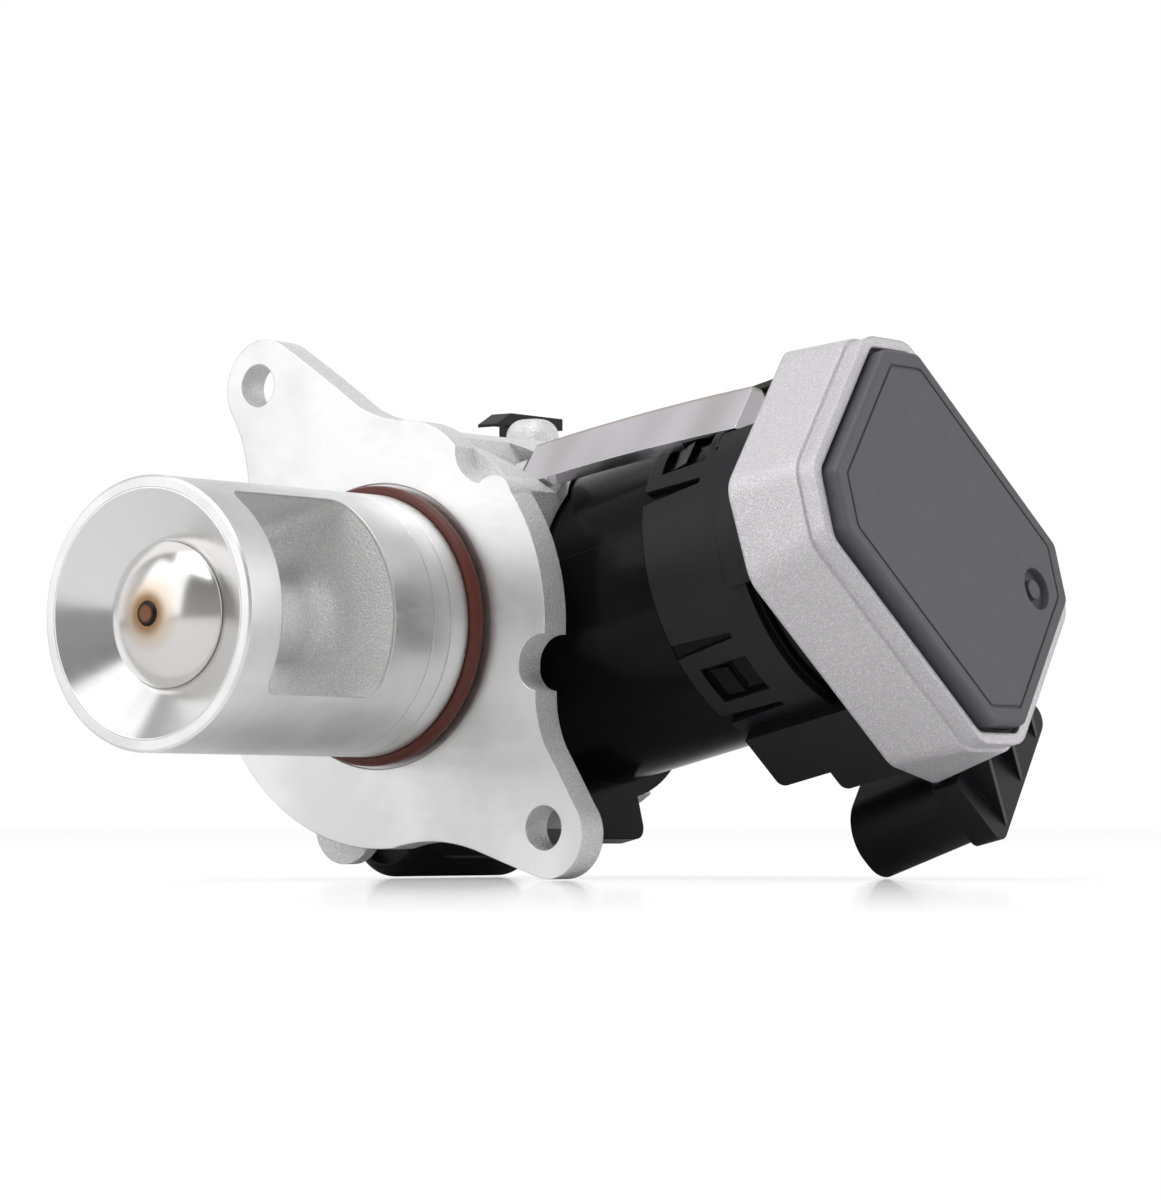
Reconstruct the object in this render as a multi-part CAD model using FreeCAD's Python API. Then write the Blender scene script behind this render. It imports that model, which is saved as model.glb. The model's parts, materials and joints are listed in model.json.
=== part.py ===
import FreeCAD, Part
import math
import os

os.makedirs("parts", exist_ok=True)

V = FreeCAD.Vector

# An electric exhaust gas recirculation valve.
# Row frame: the origin is on the valve axis at the flange's sealing face, the nose
# points along -X, +Z is up and the part lies on a floor at FLOOR_Z.
# Motor frame: the motor axis is local z and crosses behind the flange; local x is the
# row's X and local y is square to both. Head frame: the motor frame turned by HEAD_TURN.

FLOOR_Z = -47.9
FAR = 99.0

# nose and seat
NOSE_R = 25.0
NOSE_LENGTH = 64.9
NOSE_CHAMFER = 0.45
SEAT_OUTER_R = 22.8
SEAT_MOUTH_R = 22.5
SEAT_DEPTH = 7.4
THROAT_R = 11.9
POPPET_R = 13.26
POPPET_BACK = 5.8
POPPET_EDGE = 0.9
POPPET_CONE = 1.4
SEAT_GAP = 0.06
WINDOW_FRONT = NOSE_LENGTH - 8.6
WINDOW_BACK = 24.9
WINDOW_HALF = 18.9
WINDOW_FILLET = 3.0
LINE_GROOVES = (13.7, 8.7)
LINE_GROOVE_WIDTH = 0.35
LINE_GROOVE_DEPTH = 0.25

# stem, guide and return spring
STEM_R = 3.0
STEM_TIP_R = 2.3
STEM_END = 38.0
GUIDE_BOSS_R = 8.0
GUIDE_BOSS_END = NOSE_LENGTH - 17.4
GUIDE_FILLET = 5.0
BUSH_R = 5.5
BUSH_LENGTH = 26.0
RUNNING_GAP = 0.04
SEAL_R = 7.0
SEAL_LENGTH = 4.0
SPRING_MEAN_R = 7.6
SPRING_WIRE_R = 1.0
SPRING_TURNS = 4.5
SPRING_LENGTH = 17.0
RETAINER_R = 8.4
RETAINER_T = 1.6

# seal in the nose at the flange
ORING_CORD = 2.9
ORING_OUTER_R = 26.75
ORING_BACK = 0.5
GROOVE_EXTRA = 0.25
RELIEF_R = 27.3
RELIEF_DEPTH = 0.35

# flange
FLANGE_T = 6.5
EAR_HOLES = ((30.7, 47.9), (-39.9, -38.4))
HOLE_R = 4.2
# each stretch of the flange's outline starts where the one before ends and runs
# through a middle point to its own end, as (y, z)
FLANGE_START = (23.6, 54.9)
FLANGE_ARCS = (((14.3, 48.8), (4.8, 42.2)), ((-0.9, 40.0), (-7.2, 39.1)),
               ((-14.4, 37.0), (-18.9, 33.5)), ((-20.0, 29.0), (-24.4, 26.2)),
               ((-28.8, 27.5), (-32.2, 24.2)), ((-39.6, 6.8), (-40.1, -2.4)),
               ((-35.8, -3.9), (-34.1, -8.0)), ((-35.0, -11.3), (-38.0, -12.9)),
               ((-38.5, -18.3), (-40.2, -23.2)), ((-43.7, -28.8), (-47.0, -34.2)),
               ((-48.9, -39.0), (-47.8, -43.6)), ((-44.4, -46.9), (-39.9, -47.9)),
               ((-33.0, -45.7), (-25.3, -43.1)), ((-14.6, -41.0), (-3.6, -42.3)),
               ((40.9, -11.6), (33.0, 27.6)), ((34.4, 36.1), (38.0, 43.6)),
               ((37.0, 52.7), (30.0, 56.9)), ((26.6, 56.4), (23.6, 54.9)))

# drum behind the flange
DRUM_R = 38.5
DRUM_END = 58.0
DRUM_FRONT_WALL = 5.5
DRUM_FLAT_Y = -29.0
PAD_TOP = 15.0
DRUM_BACK = -14.0
SPRING_POCKET_R = 11.6
POST_X = (46.0, 55.0)
POST_Y = (-3.0, 7.0)
POST_TOP = 43.4
SHOE_R = 7.2
SHOE_Y = 13.0
SHOE_END = 21.0
STRAP_LUG_TOP = 33.0
BASE_FLANGE_GAP = 0.2

# motor axis, crossing behind the flange below the valve axis
MOTOR_TILT = 13.5
MOTOR_X = 42.0
MOTOR_BELOW = 5.08
HEAD_TURN = 45.0

# crank drive: the pin runs in a slot across the stem's yoke
CRANK_THROW = 5.5
CRANK_SWEEP = 60.0
CRANK_DISC_R = 9.5
CRANK_DISC = (7.2, 10.6)
CRANK_SHAFT_R = 6.0
CRANK_PIN_R = 2.4
ROLLER_R = 4.0
ROLLER = (-3.0, 4.2)
SLOT_GAP = 0.10
YOKE_DEPTH = (-3.8, 4.4)
YOKE_WALL = 2.8

# planetary gear
MODULE = 0.9
SUN_TEETH = 12
PLANET_TEETH = 18
RING_TEETH = 48
PRESSURE_ANGLE = 20.0
TOOTH_THINNING = 0.88
PLANETS = 3
GEAR_FACE = (23.4, 32.0)
PLANET_PIN_R = 2.0
CARRIER_R = 19.5
CARRIER_PLATE = (18.8, 22.4)

# motor barrel
BARREL_R = 30.0
BARREL_WALL = 2.2
BARREL_END = 79.0
BARREL_BASE = (15.0, 19.0)
BARREL_BASE_R = BARREL_R + 3.0
BARREL_FOOT = (-14.0, 6.0, -BARREL_R - 11.0)
BARREL_STEP = 0.4
BARREL_STEP_ANGLES = (118.0, 187.5)
BASE_WALL = (11.0, 17.0)
SPIGOT_GAP = 0.2
PAD_R = BARREL_R + 2.5
SOCKET_R = BARREL_R - 2.2

# motor
BEARING_R = 8.0
BEARING_T = 5.0
END_PLATE_T = 3.0
DRIVE_PLATE_Z = 34.6
HEAD_PLATE_Z = BARREL_END - 7.5
SHAFT_R = 3.0
SUN_SHAFT_R = 2.5
SHAFT_END = BARREL_END + 4.4
STATOR = (DRIVE_PLATE_Z + 8.4, HEAD_PLATE_Z - 6.5)
STATOR_POLES = 9
STATOR_BORE_R = BARREL_R - 15.7
STATOR_YOKE_R = BARREL_R - 7.0
POLE_WIDTH = 5.0
COIL_T = 1.9
ROTOR_R = STATOR_BORE_R - 0.6
ROTOR_CORE_R = ROTOR_R - 4.7
SENSOR_MAGNET_R = 4.5
SENSOR_MAGNET_T = 3.0

# snap collar and connector moulding
COLLAR_R = BARREL_R + 1.2
COLLAR = (BARREL_END - 21.6, BARREL_END - 1.0)
COLLAR_GAP = 0.05
TABS = 4
TAB_SLOT_ANGLE = 16.5
TAB_SLOT_END = COLLAR[0] + 13.1
TAB_SLOT_WIDE = 3.2
TAB_SLOT_NARROW = 1.2
TAB_WINDOW = (COLLAR[0] + 3.2, COLLAR[0] + 13.6)
TAB_WINDOW_WIDE = 8.6
NUB = (COLLAR[0] + 4.2, COLLAR[0] + 8.8)
NUB_WIDE = 6.4
NUB_HEIGHT = 1.0
NECK_R = BARREL_R - 1.4
NECK_BORE_R = 17.0
BASE_PLATE = (BARREL_END + 3.2, BARREL_END + 5.0)
BASE_INSET = 2.6
FLARE_R = BARREL_R + 2.6
FLARE_ANGLES = ((60.0, 148.0), (216.0, 300.0))
SKIRT_U = -BARREL_R - 0.7
SKIRT_STEPS = ((COLLAR[0] + 1.1, 3.5 - BARREL_R), (COLLAR[0] + 12.6, -1.3 - BARREL_R))
SKIRT_FROM_V = -14.0
PAD_BLOCK = (-2.5, 14.5, BARREL_R + 1.6)

# connector shroud, hanging beside the head
CONNECTOR_U = -7.2
CONNECTOR_V = -49.6
CONNECTOR_WIDE = 35.6
CONNECTOR_DEEP = 17.0
CONNECTOR_CORNER = 7.6
CONNECTOR_LENGTH = 28.2
CONNECTOR_TOP = (BASE_PLATE[1] - 2.0, BASE_PLATE[1] + 3.6)
CONNECTOR_WALL = 1.6
CONNECTOR_FLOOR = 4.0
CONNECTOR_LEAN_U = -0.6
GUSSETS = (-20.6, -8.2, 4.2)
GUSSET_T = 1.3
GUSSET_HEIGHT = 6.0
PINS = 5
PIN_PITCH = 4.4
PIN_WIDE = 1.5
PIN_THICK = 0.8
PIN_TIP = 12.0

# head: cast frame, cover, board
HEAD_U = -2.45
HEAD_V = -3.55
HEAD_REAR = BASE_PLATE[1]
HEAD_DEPTH = 18.4
HEAD_FRONT = HEAD_REAR + HEAD_DEPTH
HEAD_RIDGE = HEAD_FRONT - 3.6
HEAD_REAR_HALF = (30.6, 37.6)
HEAD_RIDGE_HALF = (29.1, 37.0)
LIP_HALF = (28.35, 36.15)
HEAD_CHAMFER = 10.5
REAR_CHAMFERS = ((9.0, 11.0), (11.5, 13.5), (8.5, 14.0), (8.5, 11.5))
HEAD_CORNER = 6.0
OPENING_HALF = (26.95, 33.95)
POCKET_HALF = (24.6, 31.6)
HEAD_FLOOR = 3.0
COVER_LEDGE = HEAD_FRONT - 5.4
COVER_HEIGHT = 8.0
COVER_TOP = COVER_LEDGE + COVER_HEIGHT
COVER_HALF = (25.5, 32.85)
COVER_CHAMFER = 8.0
COVER_T = 2.2
COVER_EDGE = 0.9
PANEL_INSET = 2.6
PANEL_GROOVE = 0.5
PANEL_GROOVE_DEPTH = 0.35
DIMPLE_AT = (11.3, -23.9)
DIMPLE_R = 4.1
DIMPLE_POST_R = 1.9
DIMPLE_DEPTH = 1.6
COVER_SEAL_TOP = HEAD_FRONT - 1.2
POST_R = 3.0
POST_H = 2.2
BOARD_T = 1.6
BOARD_HALF = (23.6, 30.6)
SHAFT_HOLE_R = 12.0

# spring straps from the drum's lugs to the collar
STRAP_WIDE = 12.4
STRAP_T = 0.8
STRAP_OFFSET = 6.0
SECOND_STRAP_TURN = 225.0
STRAP_FOOT = (24.4, BARREL_R + 2.6)
STRAP_BOW = ((28.2, BARREL_R + 7.0), (BARREL_END - 26.0, BARREL_R + 5.6),
             (BARREL_END - 1.2, BARREL_R + 2.9))
STRAP_TAIL = (BARREL_END + 1.6, BARREL_R - 0.8)
STRAP_LIP = 1.6

# cap on the drum's open side, with its foot and its clip
CAP_HALF = (30.0, 38.0)
CAP_MIDDLE = (0.0, 1.0)
CAP_CORNER = 18.0
CAP_RIM = 4.0
CAP_T = 2.6
CAP_STEP = 4.0
FOOT = (18.0, 56.0)
FOOT_WALL = 2.5
CLIP = (52.5, 69.5, 9.0, 20.0)
CLIP_TOP = 45.2
CLIP_T = 2.4
CLIP_TIP = 4.5
CLIP_WIDE = 5.0
CLIP_LEG = 7.0
CAP_SEAL = (28.4, 30.4)
CAP_SEAL_T = 1.6


def x_disc(radius, x0, x1, y=0.0, z=0.0):
    """A cylinder along the row's X."""
    return Part.makeCylinder(radius, x1 - x0, V(x0, y, z), V(1, 0, 0))


def disc(radius, z0, z1, x=0.0, y=0.0):
    return Part.makeCylinder(radius, z1 - z0, V(x, y, z0))


def sector(radius, z0, z1, start, end):
    piece = Part.makeCylinder(radius, z1 - z0, V(0, 0, z0), V(0, 0, 1), end - start)
    piece.rotate(V(0, 0, 0), V(0, 0, 1), start)
    return piece


def tube(outer, inner, z0, z1):
    return disc(outer, z0, z1).cut(disc(inner, z0 - 1, z1 + 1))


def block(x0, x1, y0, y1, z0, z1):
    return Part.makeBox(x1 - x0, y1 - y0, z1 - z0, V(x0, y0, z0))


def turned_x(profile):
    """Turns (x, radius) points about the row's X."""
    points = [V(x, 0, r) for x, r in profile]
    face = Part.Face(Part.makePolygon(points + points[:1]))
    return face.revolve(V(0, 0, 0), V(1, 0, 0), 360)


def turned_chain(stretches):
    """Turns a closed outline about the row's X; a stretch of three points is an arc."""
    edges = []
    for stretch in stretches:
        points = [V(x, 0, r) for x, r in stretch]
        edge = Part.Arc(*points) if len(points) == 3 else Part.LineSegment(*points)
        edges.append(edge.toShape())
    return Part.Face(Part.Wire(edges)).revolve(V(0, 0, 0), V(1, 0, 0), 360)


def prism(points, z0, z1):
    corners = [V(x, y, z0) for x, y in points]
    return Part.Face(Part.makePolygon(corners + corners[:1])).extrude(V(0, 0, z1 - z0))


def side_prism(points, y0, y1):
    """A prism along local y from (x, z) points."""
    corners = [V(x, y0, z) for x, z in points]
    return Part.Face(Part.makePolygon(corners + corners[:1])).extrude(V(0, y1 - y0, 0))


def is_upright(edge):
    a, b = edge.Vertexes[0].Point, edge.Vertexes[-1].Point
    return math.hypot(b.x - a.x, b.y - a.y) < 0.01 and abs(b.z - a.z) > 0.01


def octagon(half, chamfers, centre=(0.0, 0.0)):
    """Corner points of a rectangle with cut corners, each cut given as (along x, along y)."""
    hx, hy = half
    cx, cy = centre
    (ax, ay), (bx, by), (dx, dy), (ex, ey) = chamfers
    ring = ((hx, hy - ay), (hx - ax, hy), (bx - hx, hy), (-hx, hy - by),
            (-hx, dy - hy), (dx - hx, -hy), (hx - ex, -hy), (hx, ey - hy))
    return [(cx + x, cy + y) for x, y in ring]


def even(chamfer):
    return ((chamfer, chamfer),) * 4


def octagon_wire(half, chamfers, z, centre=(0.0, 0.0)):
    corners = [V(x, y, z) for x, y in octagon(half, chamfers, centre)]
    return Part.makePolygon(corners + corners[:1])


def head_slab(half, z0, z1, chamfer=HEAD_CHAMFER, corner=HEAD_CORNER):
    slab = prism(octagon(half, even(chamfer), (HEAD_U, HEAD_V)), z0, z1)
    return slab.makeFillet(corner, [e for e in slab.Edges if is_upright(e)])


def rounded_wire(wide, deep, corner, u, v, z):
    slab = block(u - wide / 2, u + wide / 2, v - deep / 2, v + deep / 2, z, z + 1)
    slab = slab.makeFillet(corner, [e for e in slab.Edges if is_upright(e)])
    base = [f for f in slab.Faces if abs(f.CenterOfMass.z - z) < 0.01]
    return base[0].OuterWire


def to_motor(shape, turn=0.0):
    """Carries a shape from the motor frame, turned by an angle, into the row frame."""
    placed = shape.copy()
    placed.rotate(V(0, 0, 0), V(0, 0, 1), turn)
    placed.rotate(V(0, 0, 0), V(1, 0, 0), 90.0 - MOTOR_TILT)
    placed.translate(V(MOTOR_X, 0, -MOTOR_BELOW))
    return placed


def to_head(shape):
    return to_motor(shape, HEAD_TURN)


VALVE_Y = MOTOR_BELOW * math.cos(math.radians(MOTOR_TILT))
VALVE_Z = MOTOR_BELOW * math.sin(math.radians(MOTOR_TILT))
SEAT_X = -(NOSE_LENGTH - POPPET_BACK)


def flange():
    """The flange plate, its outline a chain of arcs."""
    edges = []
    start = V(0, *FLANGE_START)
    for middle, end in FLANGE_ARCS:
        edges.append(Part.Arc(start, V(0, *middle), V(0, *end)).toShape())
        start = V(0, *end)
    plate = Part.Face(Part.Wire(edges)).extrude(V(FLANGE_T, 0, 0))
    holes = [x_disc(HOLE_R, -1, FLANGE_T + 1, y, z) for y, z in EAR_HOLES]
    return plate.cut(holes + [x_disc(RELIEF_R, -1, RELIEF_DEPTH)])


def nose():
    front = -NOSE_LENGTH
    oring_x = -(ORING_BACK + ORING_CORD / 2)
    groove_r = ORING_OUTER_R - ORING_CORD
    half = ORING_CORD / 2 + GROOVE_EXTRA
    body = turned_x([(front, 0), (front, NOSE_R - NOSE_CHAMFER), (front + NOSE_CHAMFER, NOSE_R),
                     (RELIEF_DEPTH, NOSE_R), (RELIEF_DEPTH, 0)])
    cuts = [turned_x([(oring_x - half, groove_r), (oring_x - half, NOSE_R + 1),
                      (RELIEF_DEPTH, NOSE_R + 1), (RELIEF_DEPTH, groove_r)])]
    for x in LINE_GROOVES:
        cuts.append(turned_x([(-x - LINE_GROOVE_WIDTH / 2, NOSE_R + 1),
                              (-x - LINE_GROOVE_WIDTH / 2, NOSE_R - LINE_GROOVE_DEPTH),
                              (-x + LINE_GROOVE_WIDTH / 2, NOSE_R - LINE_GROOVE_DEPTH),
                              (-x + LINE_GROOVE_WIDTH / 2, NOSE_R + 1)]))
    cuts.append(x_disc(SEAT_OUTER_R, front - 1, front + SEAT_DEPTH))
    cuts.append(x_disc(THROAT_R + 2.5, front, -WINDOW_FRONT + 1))
    cuts.append(gas_passage())
    return body.cut(cuts)


def gas_passage():
    """The slot that the gas leaves by, with the stem's guide boss standing in it."""
    slot = block(-WINDOW_FRONT, -WINDOW_BACK, -NOSE_R - 2, NOSE_R + 2, -WINDOW_HALF, WINDOW_HALF)
    along_slot = [e for e in slot.Edges if abs(e.tangentAt(e.FirstParameter).y) > 0.9]
    slot = slot.makeFillet(WINDOW_FILLET, along_slot)
    slot.rotate(V(0, 0, 0), V(1, 0, 0), -MOTOR_TILT)
    root = GUIDE_FILLET
    wall = -WINDOW_BACK
    bend = math.sqrt(0.5) * root
    flare = ((wall - root, GUIDE_BOSS_R), (wall - root + bend, GUIDE_BOSS_R + root - bend),
             (wall, GUIDE_BOSS_R + root))
    end = -GUIDE_BOSS_END
    boss = turned_chain([((wall + 1, 0), (end, 0)), ((end, 0), (end, GUIDE_BOSS_R - 1.2)),
                         ((end, GUIDE_BOSS_R - 1.2), (end + 1.2, GUIDE_BOSS_R)),
                         ((end + 1.2, GUIDE_BOSS_R), flare[0]), flare,
                         (flare[2], (wall + 1, GUIDE_BOSS_R + root)), ((wall + 1, GUIDE_BOSS_R + root),
                                                                       (wall + 1, 0))])
    return slot.cut(boss)


def strap_lug():
    """A cast lug with a slot that takes a strap's bent foot, on the head frame's +v side."""
    wide = STRAP_WIDE / 2 - 1.0
    lug = block(STRAP_OFFSET - wide, STRAP_OFFSET + wide, BARREL_R + 0.6, STRAP_BOW[0][1] - STRAP_T - 0.5,
                PAD_TOP - 8, STRAP_LUG_TOP)
    lug = lug.makeFillet(1.0, lug.Edges)
    (foot_z, foot_v), (bend_z, bend_v) = STRAP_FOOT, STRAP_BOW[0]
    slot = [V(-9, foot_v - 1.6, foot_z - 1.0), V(-9, bend_v, bend_z - 2.0), V(-9, bend_v, bend_z + 1.6),
            V(-9, foot_v - 1.6, foot_z + 1.8)]
    return lug.cut(Part.Face(Part.makePolygon(slot + slot[:1])).extrude(V(30, 0, 0)))


def clip_post():
    """A rounded cast post on the drum, beside the cap's clip."""
    post = block(*POST_X, *POST_Y, DRUM_R - 8, POST_TOP)
    return post.makeFillet(3.6, [e for e in post.Edges if e.BoundBox.ZMax > DRUM_R])


def drum():
    """The cast body: a drum about the valve axis, cut to a slab square to the motor."""
    body = x_disc(DRUM_R, FLANGE_T - 1, DRUM_END)
    body = body.common(block(FLANGE_T - 2, DRUM_END + 1, DRUM_FLAT_Y, DRUM_R + 1, -DRUM_R - 1, DRUM_R + 1))
    pad = to_motor(disc(PAD_R, DRUM_BACK, PAD_TOP)).common(block(FLANGE_T, FAR, -FAR, FAR, -FAR, FAR))
    body = body.fuse(pad)
    body = body.cut([to_motor(disc(BARREL_R + 0.6, PAD_TOP, FAR)),
                     to_motor(block(-FAR, FAR, -FAR, 0, PAD_TOP, FAR)),
                     to_motor(block(10, FAR, -FAR, FAR, PAD_TOP, FAR))])
    channel = block(STRAP_OFFSET - STRAP_WIDE / 2 - 0.6, STRAP_OFFSET + STRAP_WIDE / 2 + 0.6,
                    BARREL_R + 0.6, FAR,
                    STRAP_FOOT[0] - 1.6, FAR)
    body = body.cut(to_head(channel))
    body = body.fuse([to_head(strap_lug()), to_motor(strap_lug(), HEAD_TURN + SECOND_STRAP_TURN),
                      clip_post(),
                      x_disc(SHOE_R, FLANGE_T - 1, SHOE_END, SHOE_Y, shoe_z())])
    behind = to_motor(block(-FAR, FAR, -FAR, FAR, -FAR, DRUM_BACK))
    behind = behind.common(block(FLANGE_T + 2.0, 2 * FAR, -FAR, FAR, -FAR, FAR))
    base_room = to_motor(disc(BARREL_BASE_R + BASE_FLANGE_GAP, PAD_TOP, BARREL_BASE[1] + BASE_FLANGE_GAP))
    bores = [behind, base_room, to_motor(disc(SOCKET_R, DRUM_BACK - 1, PAD_TOP + 1)),
             x_disc(SPRING_POCKET_R, FLANGE_T + DRUM_FRONT_WALL, MOTOR_X)]
    return body.cut(bores)


def shoe_z():
    """Height of the lower boss, so that its black sleeve rests on the floor."""
    return FLOOR_Z + SHOE_R + FOOT_WALL


def valve_housing():
    back = FLANGE_T + DRUM_FRONT_WALL
    body = flange().fuse([drum(), nose()])
    bores = [x_disc(BUSH_R, -GUIDE_BOSS_END - 1, -GUIDE_BOSS_END + BUSH_LENGTH),
             x_disc(STEM_R + 0.8, -GUIDE_BOSS_END, back + 1),
             x_disc(SEAL_R, back - SEAL_LENGTH, back + 1)]
    return body.cut(bores).removeSplitter()


def seat_ring():
    front = -NOSE_LENGTH
    return turned_x([(front, SEAT_OUTER_R), (front, SEAT_MOUTH_R), (SEAT_X, POPPET_R + SEAT_GAP),
                     (SEAT_X + POPPET_CONE, THROAT_R + SEAT_GAP), (SEAT_X + POPPET_CONE, THROAT_R),
                     (front + SEAT_DEPTH, THROAT_R), (front + SEAT_DEPTH, SEAT_OUTER_R)])


def poppet_head():
    """A domed disc with a conical seating band, bored for the stem's tip."""
    crown = -NOSE_LENGTH + 0.3
    edge = SEAT_X - POPPET_EDGE
    back = SEAT_X + POPPET_CONE
    shoulder = back + 1.0
    rim = (edge, POPPET_R - 0.35)
    side = (edge + 0.4, POPPET_R - 0.02)
    top = (crown, STEM_TIP_R)
    bulge = (crown + 0.235 * (edge - crown), (POPPET_R + STEM_TIP_R) / 2 + 0.2)
    return turned_chain([(top, bulge, rim), (rim, side), (side, (SEAT_X, POPPET_R - 0.01)),
                         ((SEAT_X, POPPET_R - 0.01), (back, THROAT_R - 0.02)),
                         ((back, THROAT_R - 0.02), (back + 0.4, THROAT_R - 1.5)),
                         ((back + 0.4, THROAT_R - 1.5), (shoulder, STEM_R + 2.0)),
                         ((shoulder, STEM_R + 2.0), (shoulder + 2.2, STEM_R + 1.0)),
                         ((shoulder + 2.2, STEM_R + 1.0), (shoulder + 2.2, STEM_R)),
                         ((shoulder + 2.2, STEM_R), (shoulder, STEM_R)),
                         ((shoulder, STEM_R), (shoulder, STEM_TIP_R)), ((shoulder, STEM_TIP_R), top)])


def valve_stem():
    shoulder = SEAT_X + POPPET_CONE + 1.0
    tip = -NOSE_LENGTH - 0.2
    return turned_x([(tip, 0), (tip, STEM_TIP_R - 0.4), (tip + 0.5, STEM_TIP_R), (shoulder, STEM_TIP_R),
                     (shoulder, STEM_R), (STEM_END, STEM_R), (STEM_END, 0)])


def stem_bush():
    start = -GUIDE_BOSS_END
    return x_disc(BUSH_R, start, start + BUSH_LENGTH).cut(
        x_disc(STEM_R + RUNNING_GAP, start - 1, start + BUSH_LENGTH + 1))


def stem_seal():
    end = FLANGE_T + DRUM_FRONT_WALL
    return x_disc(SEAL_R, end - SEAL_LENGTH, end).cut(x_disc(STEM_R + RUNNING_GAP, -1, end + 1))


def spring_start():
    return FLANGE_T + DRUM_FRONT_WALL + SPRING_WIRE_R + 0.05


def return_spring():
    """A coil of round wire about the stem, its turns closed up by the retainer."""
    height = SPRING_LENGTH - 2 * SPRING_WIRE_R
    helix = Part.makeHelix(height / SPRING_TURNS, height, SPRING_MEAN_R)
    wire = Part.makeCircle(SPRING_WIRE_R, V(SPRING_MEAN_R, 0, 0), V(0, 1, 0))
    coil = Part.Wire(helix.Edges).makePipeShell([Part.Wire([wire])], True, True)
    coil.rotate(V(0, 0, 0), V(0, 1, 0), 90)
    coil.translate(V(spring_start(), 0, 0))
    return coil


def retainer_x():
    return spring_start() - SPRING_WIRE_R + SPRING_LENGTH + 0.3


def spring_retainer():
    x = retainer_x()
    return turned_x([(x, STEM_R), (x, RETAINER_R), (x - 1.2, RETAINER_R), (x - 1.2, RETAINER_R + 0.8),
                     (x + RETAINER_T, RETAINER_R + 0.8), (x + RETAINER_T, STEM_R)])


def crank_angle():
    """Direction of the crank pin at rest, from local x, with the valve shut."""
    return math.radians(90.0 - CRANK_SWEEP / 2)


def pin_place():
    return CRANK_THROW * math.cos(crank_angle()), CRANK_THROW * math.sin(crank_angle())


def stem_yoke():
    """A slotted block on the stem's end; the crank's roller runs in the slot."""
    x, y = pin_place()
    half = ROLLER_R + SLOT_GAP
    low = y - half - 0.3
    high = CRANK_THROW + half + 0.3
    body = block(x - half - YOKE_WALL, x + half + YOKE_WALL, low - YOKE_WALL, high + YOKE_WALL, *YOKE_DEPTH)
    body = body.makeFillet(1.5, [e for e in body.Edges if is_upright(e)])
    slot = block(x - half, x + half, low, high, YOKE_DEPTH[0] - 1, YOKE_DEPTH[1] + 1)
    body = to_motor(body.cut(slot))
    start = retainer_x() + RETAINER_T + 0.2
    socket = x_disc(STEM_R + 2.6, start, MOTOR_X + x - half - 1)
    stem = x_disc(STEM_R, start - 1, STEM_END)
    across = to_motor(yoke_pin_local())
    return body.fuse(socket).cut([stem, across])


def yoke_pin_local():
    start = retainer_x() + RETAINER_T + 0.2
    return disc(1.0, VALVE_Z - STEM_R - 2.4, VALVE_Z + STEM_R + 2.4, start + 2.2 - MOTOR_X, VALVE_Y)


def flange_o_ring():
    centre_r = ORING_OUTER_R - ORING_CORD / 2
    return Part.makeTorus(centre_r, ORING_CORD / 2, V(-(ORING_BACK + ORING_CORD / 2), 0, 0), V(1, 0, 0))


def involute(angle):
    return math.tan(angle) - angle


def tooth_half_angle(teeth, radius, thinning):
    """Half of a tooth's width, as an angle about the gear's axis."""
    pressure = math.radians(PRESSURE_ANGLE)
    base = MODULE * teeth / 2 * math.cos(pressure)
    local = math.acos(min(1.0, base / radius))
    return math.pi / (2 * teeth) * thinning + involute(pressure) - involute(local)


def gear_outline(teeth, inner, outer, thinning, phase):
    """Toothed outline between two radii, with a tooth centred on the phase angle."""
    middle = MODULE * teeth / 2
    base = middle * math.cos(math.radians(PRESSURE_ANGLE))
    flank = [inner, max(inner + 0.05, base), middle, outer]
    points = []
    for tooth in range(teeth):
        centre = math.radians(phase) + 2 * math.pi * tooth / teeth
        sides = [(r, tooth_half_angle(teeth, r, thinning)) for r in flank]
        for r, half in sides:
            points.append((r * math.cos(centre - half), r * math.sin(centre - half)))
        for r, half in reversed(sides):
            points.append((r * math.cos(centre + half), r * math.sin(centre + half)))
    return points


def spur_gear(teeth, bore, phase):
    pitch_r = MODULE * teeth / 2
    outline = gear_outline(teeth, pitch_r - 1.15 * MODULE, pitch_r + 0.85 * MODULE, TOOTH_THINNING, phase)
    return prism(outline, *GEAR_FACE).cut(disc(bore, GEAR_FACE[0] - 1, GEAR_FACE[1] + 1))


def centre_distance():
    return MODULE * (SUN_TEETH + PLANET_TEETH) / 2


def planet_places():
    for number in range(PLANETS):
        angle = 2 * math.pi * number / PLANETS
        yield (number, math.degrees(angle), centre_distance() * math.cos(angle),
               centre_distance() * math.sin(angle))


def sun_gear():
    return spur_gear(SUN_TEETH, SUN_SHAFT_R, 180.0 / SUN_TEETH)


def planet_gear(angle, x, y):
    gear = spur_gear(PLANET_TEETH, PLANET_PIN_R + RUNNING_GAP, angle)
    gear.translate(V(x, y, 0))
    return gear


def ring_gear():
    pitch_r = MODULE * RING_TEETH / 2
    spaces = gear_outline(RING_TEETH, pitch_r - 0.85 * MODULE, pitch_r + 1.15 * MODULE,
                          2 - TOOTH_THINNING, 0.0)
    body = disc(BARREL_R - BARREL_WALL, GEAR_FACE[0] - 0.4, GEAR_FACE[1] + 0.6)
    return body.cut(prism(spaces, GEAR_FACE[0] - 1, GEAR_FACE[1] + 2))


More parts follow.
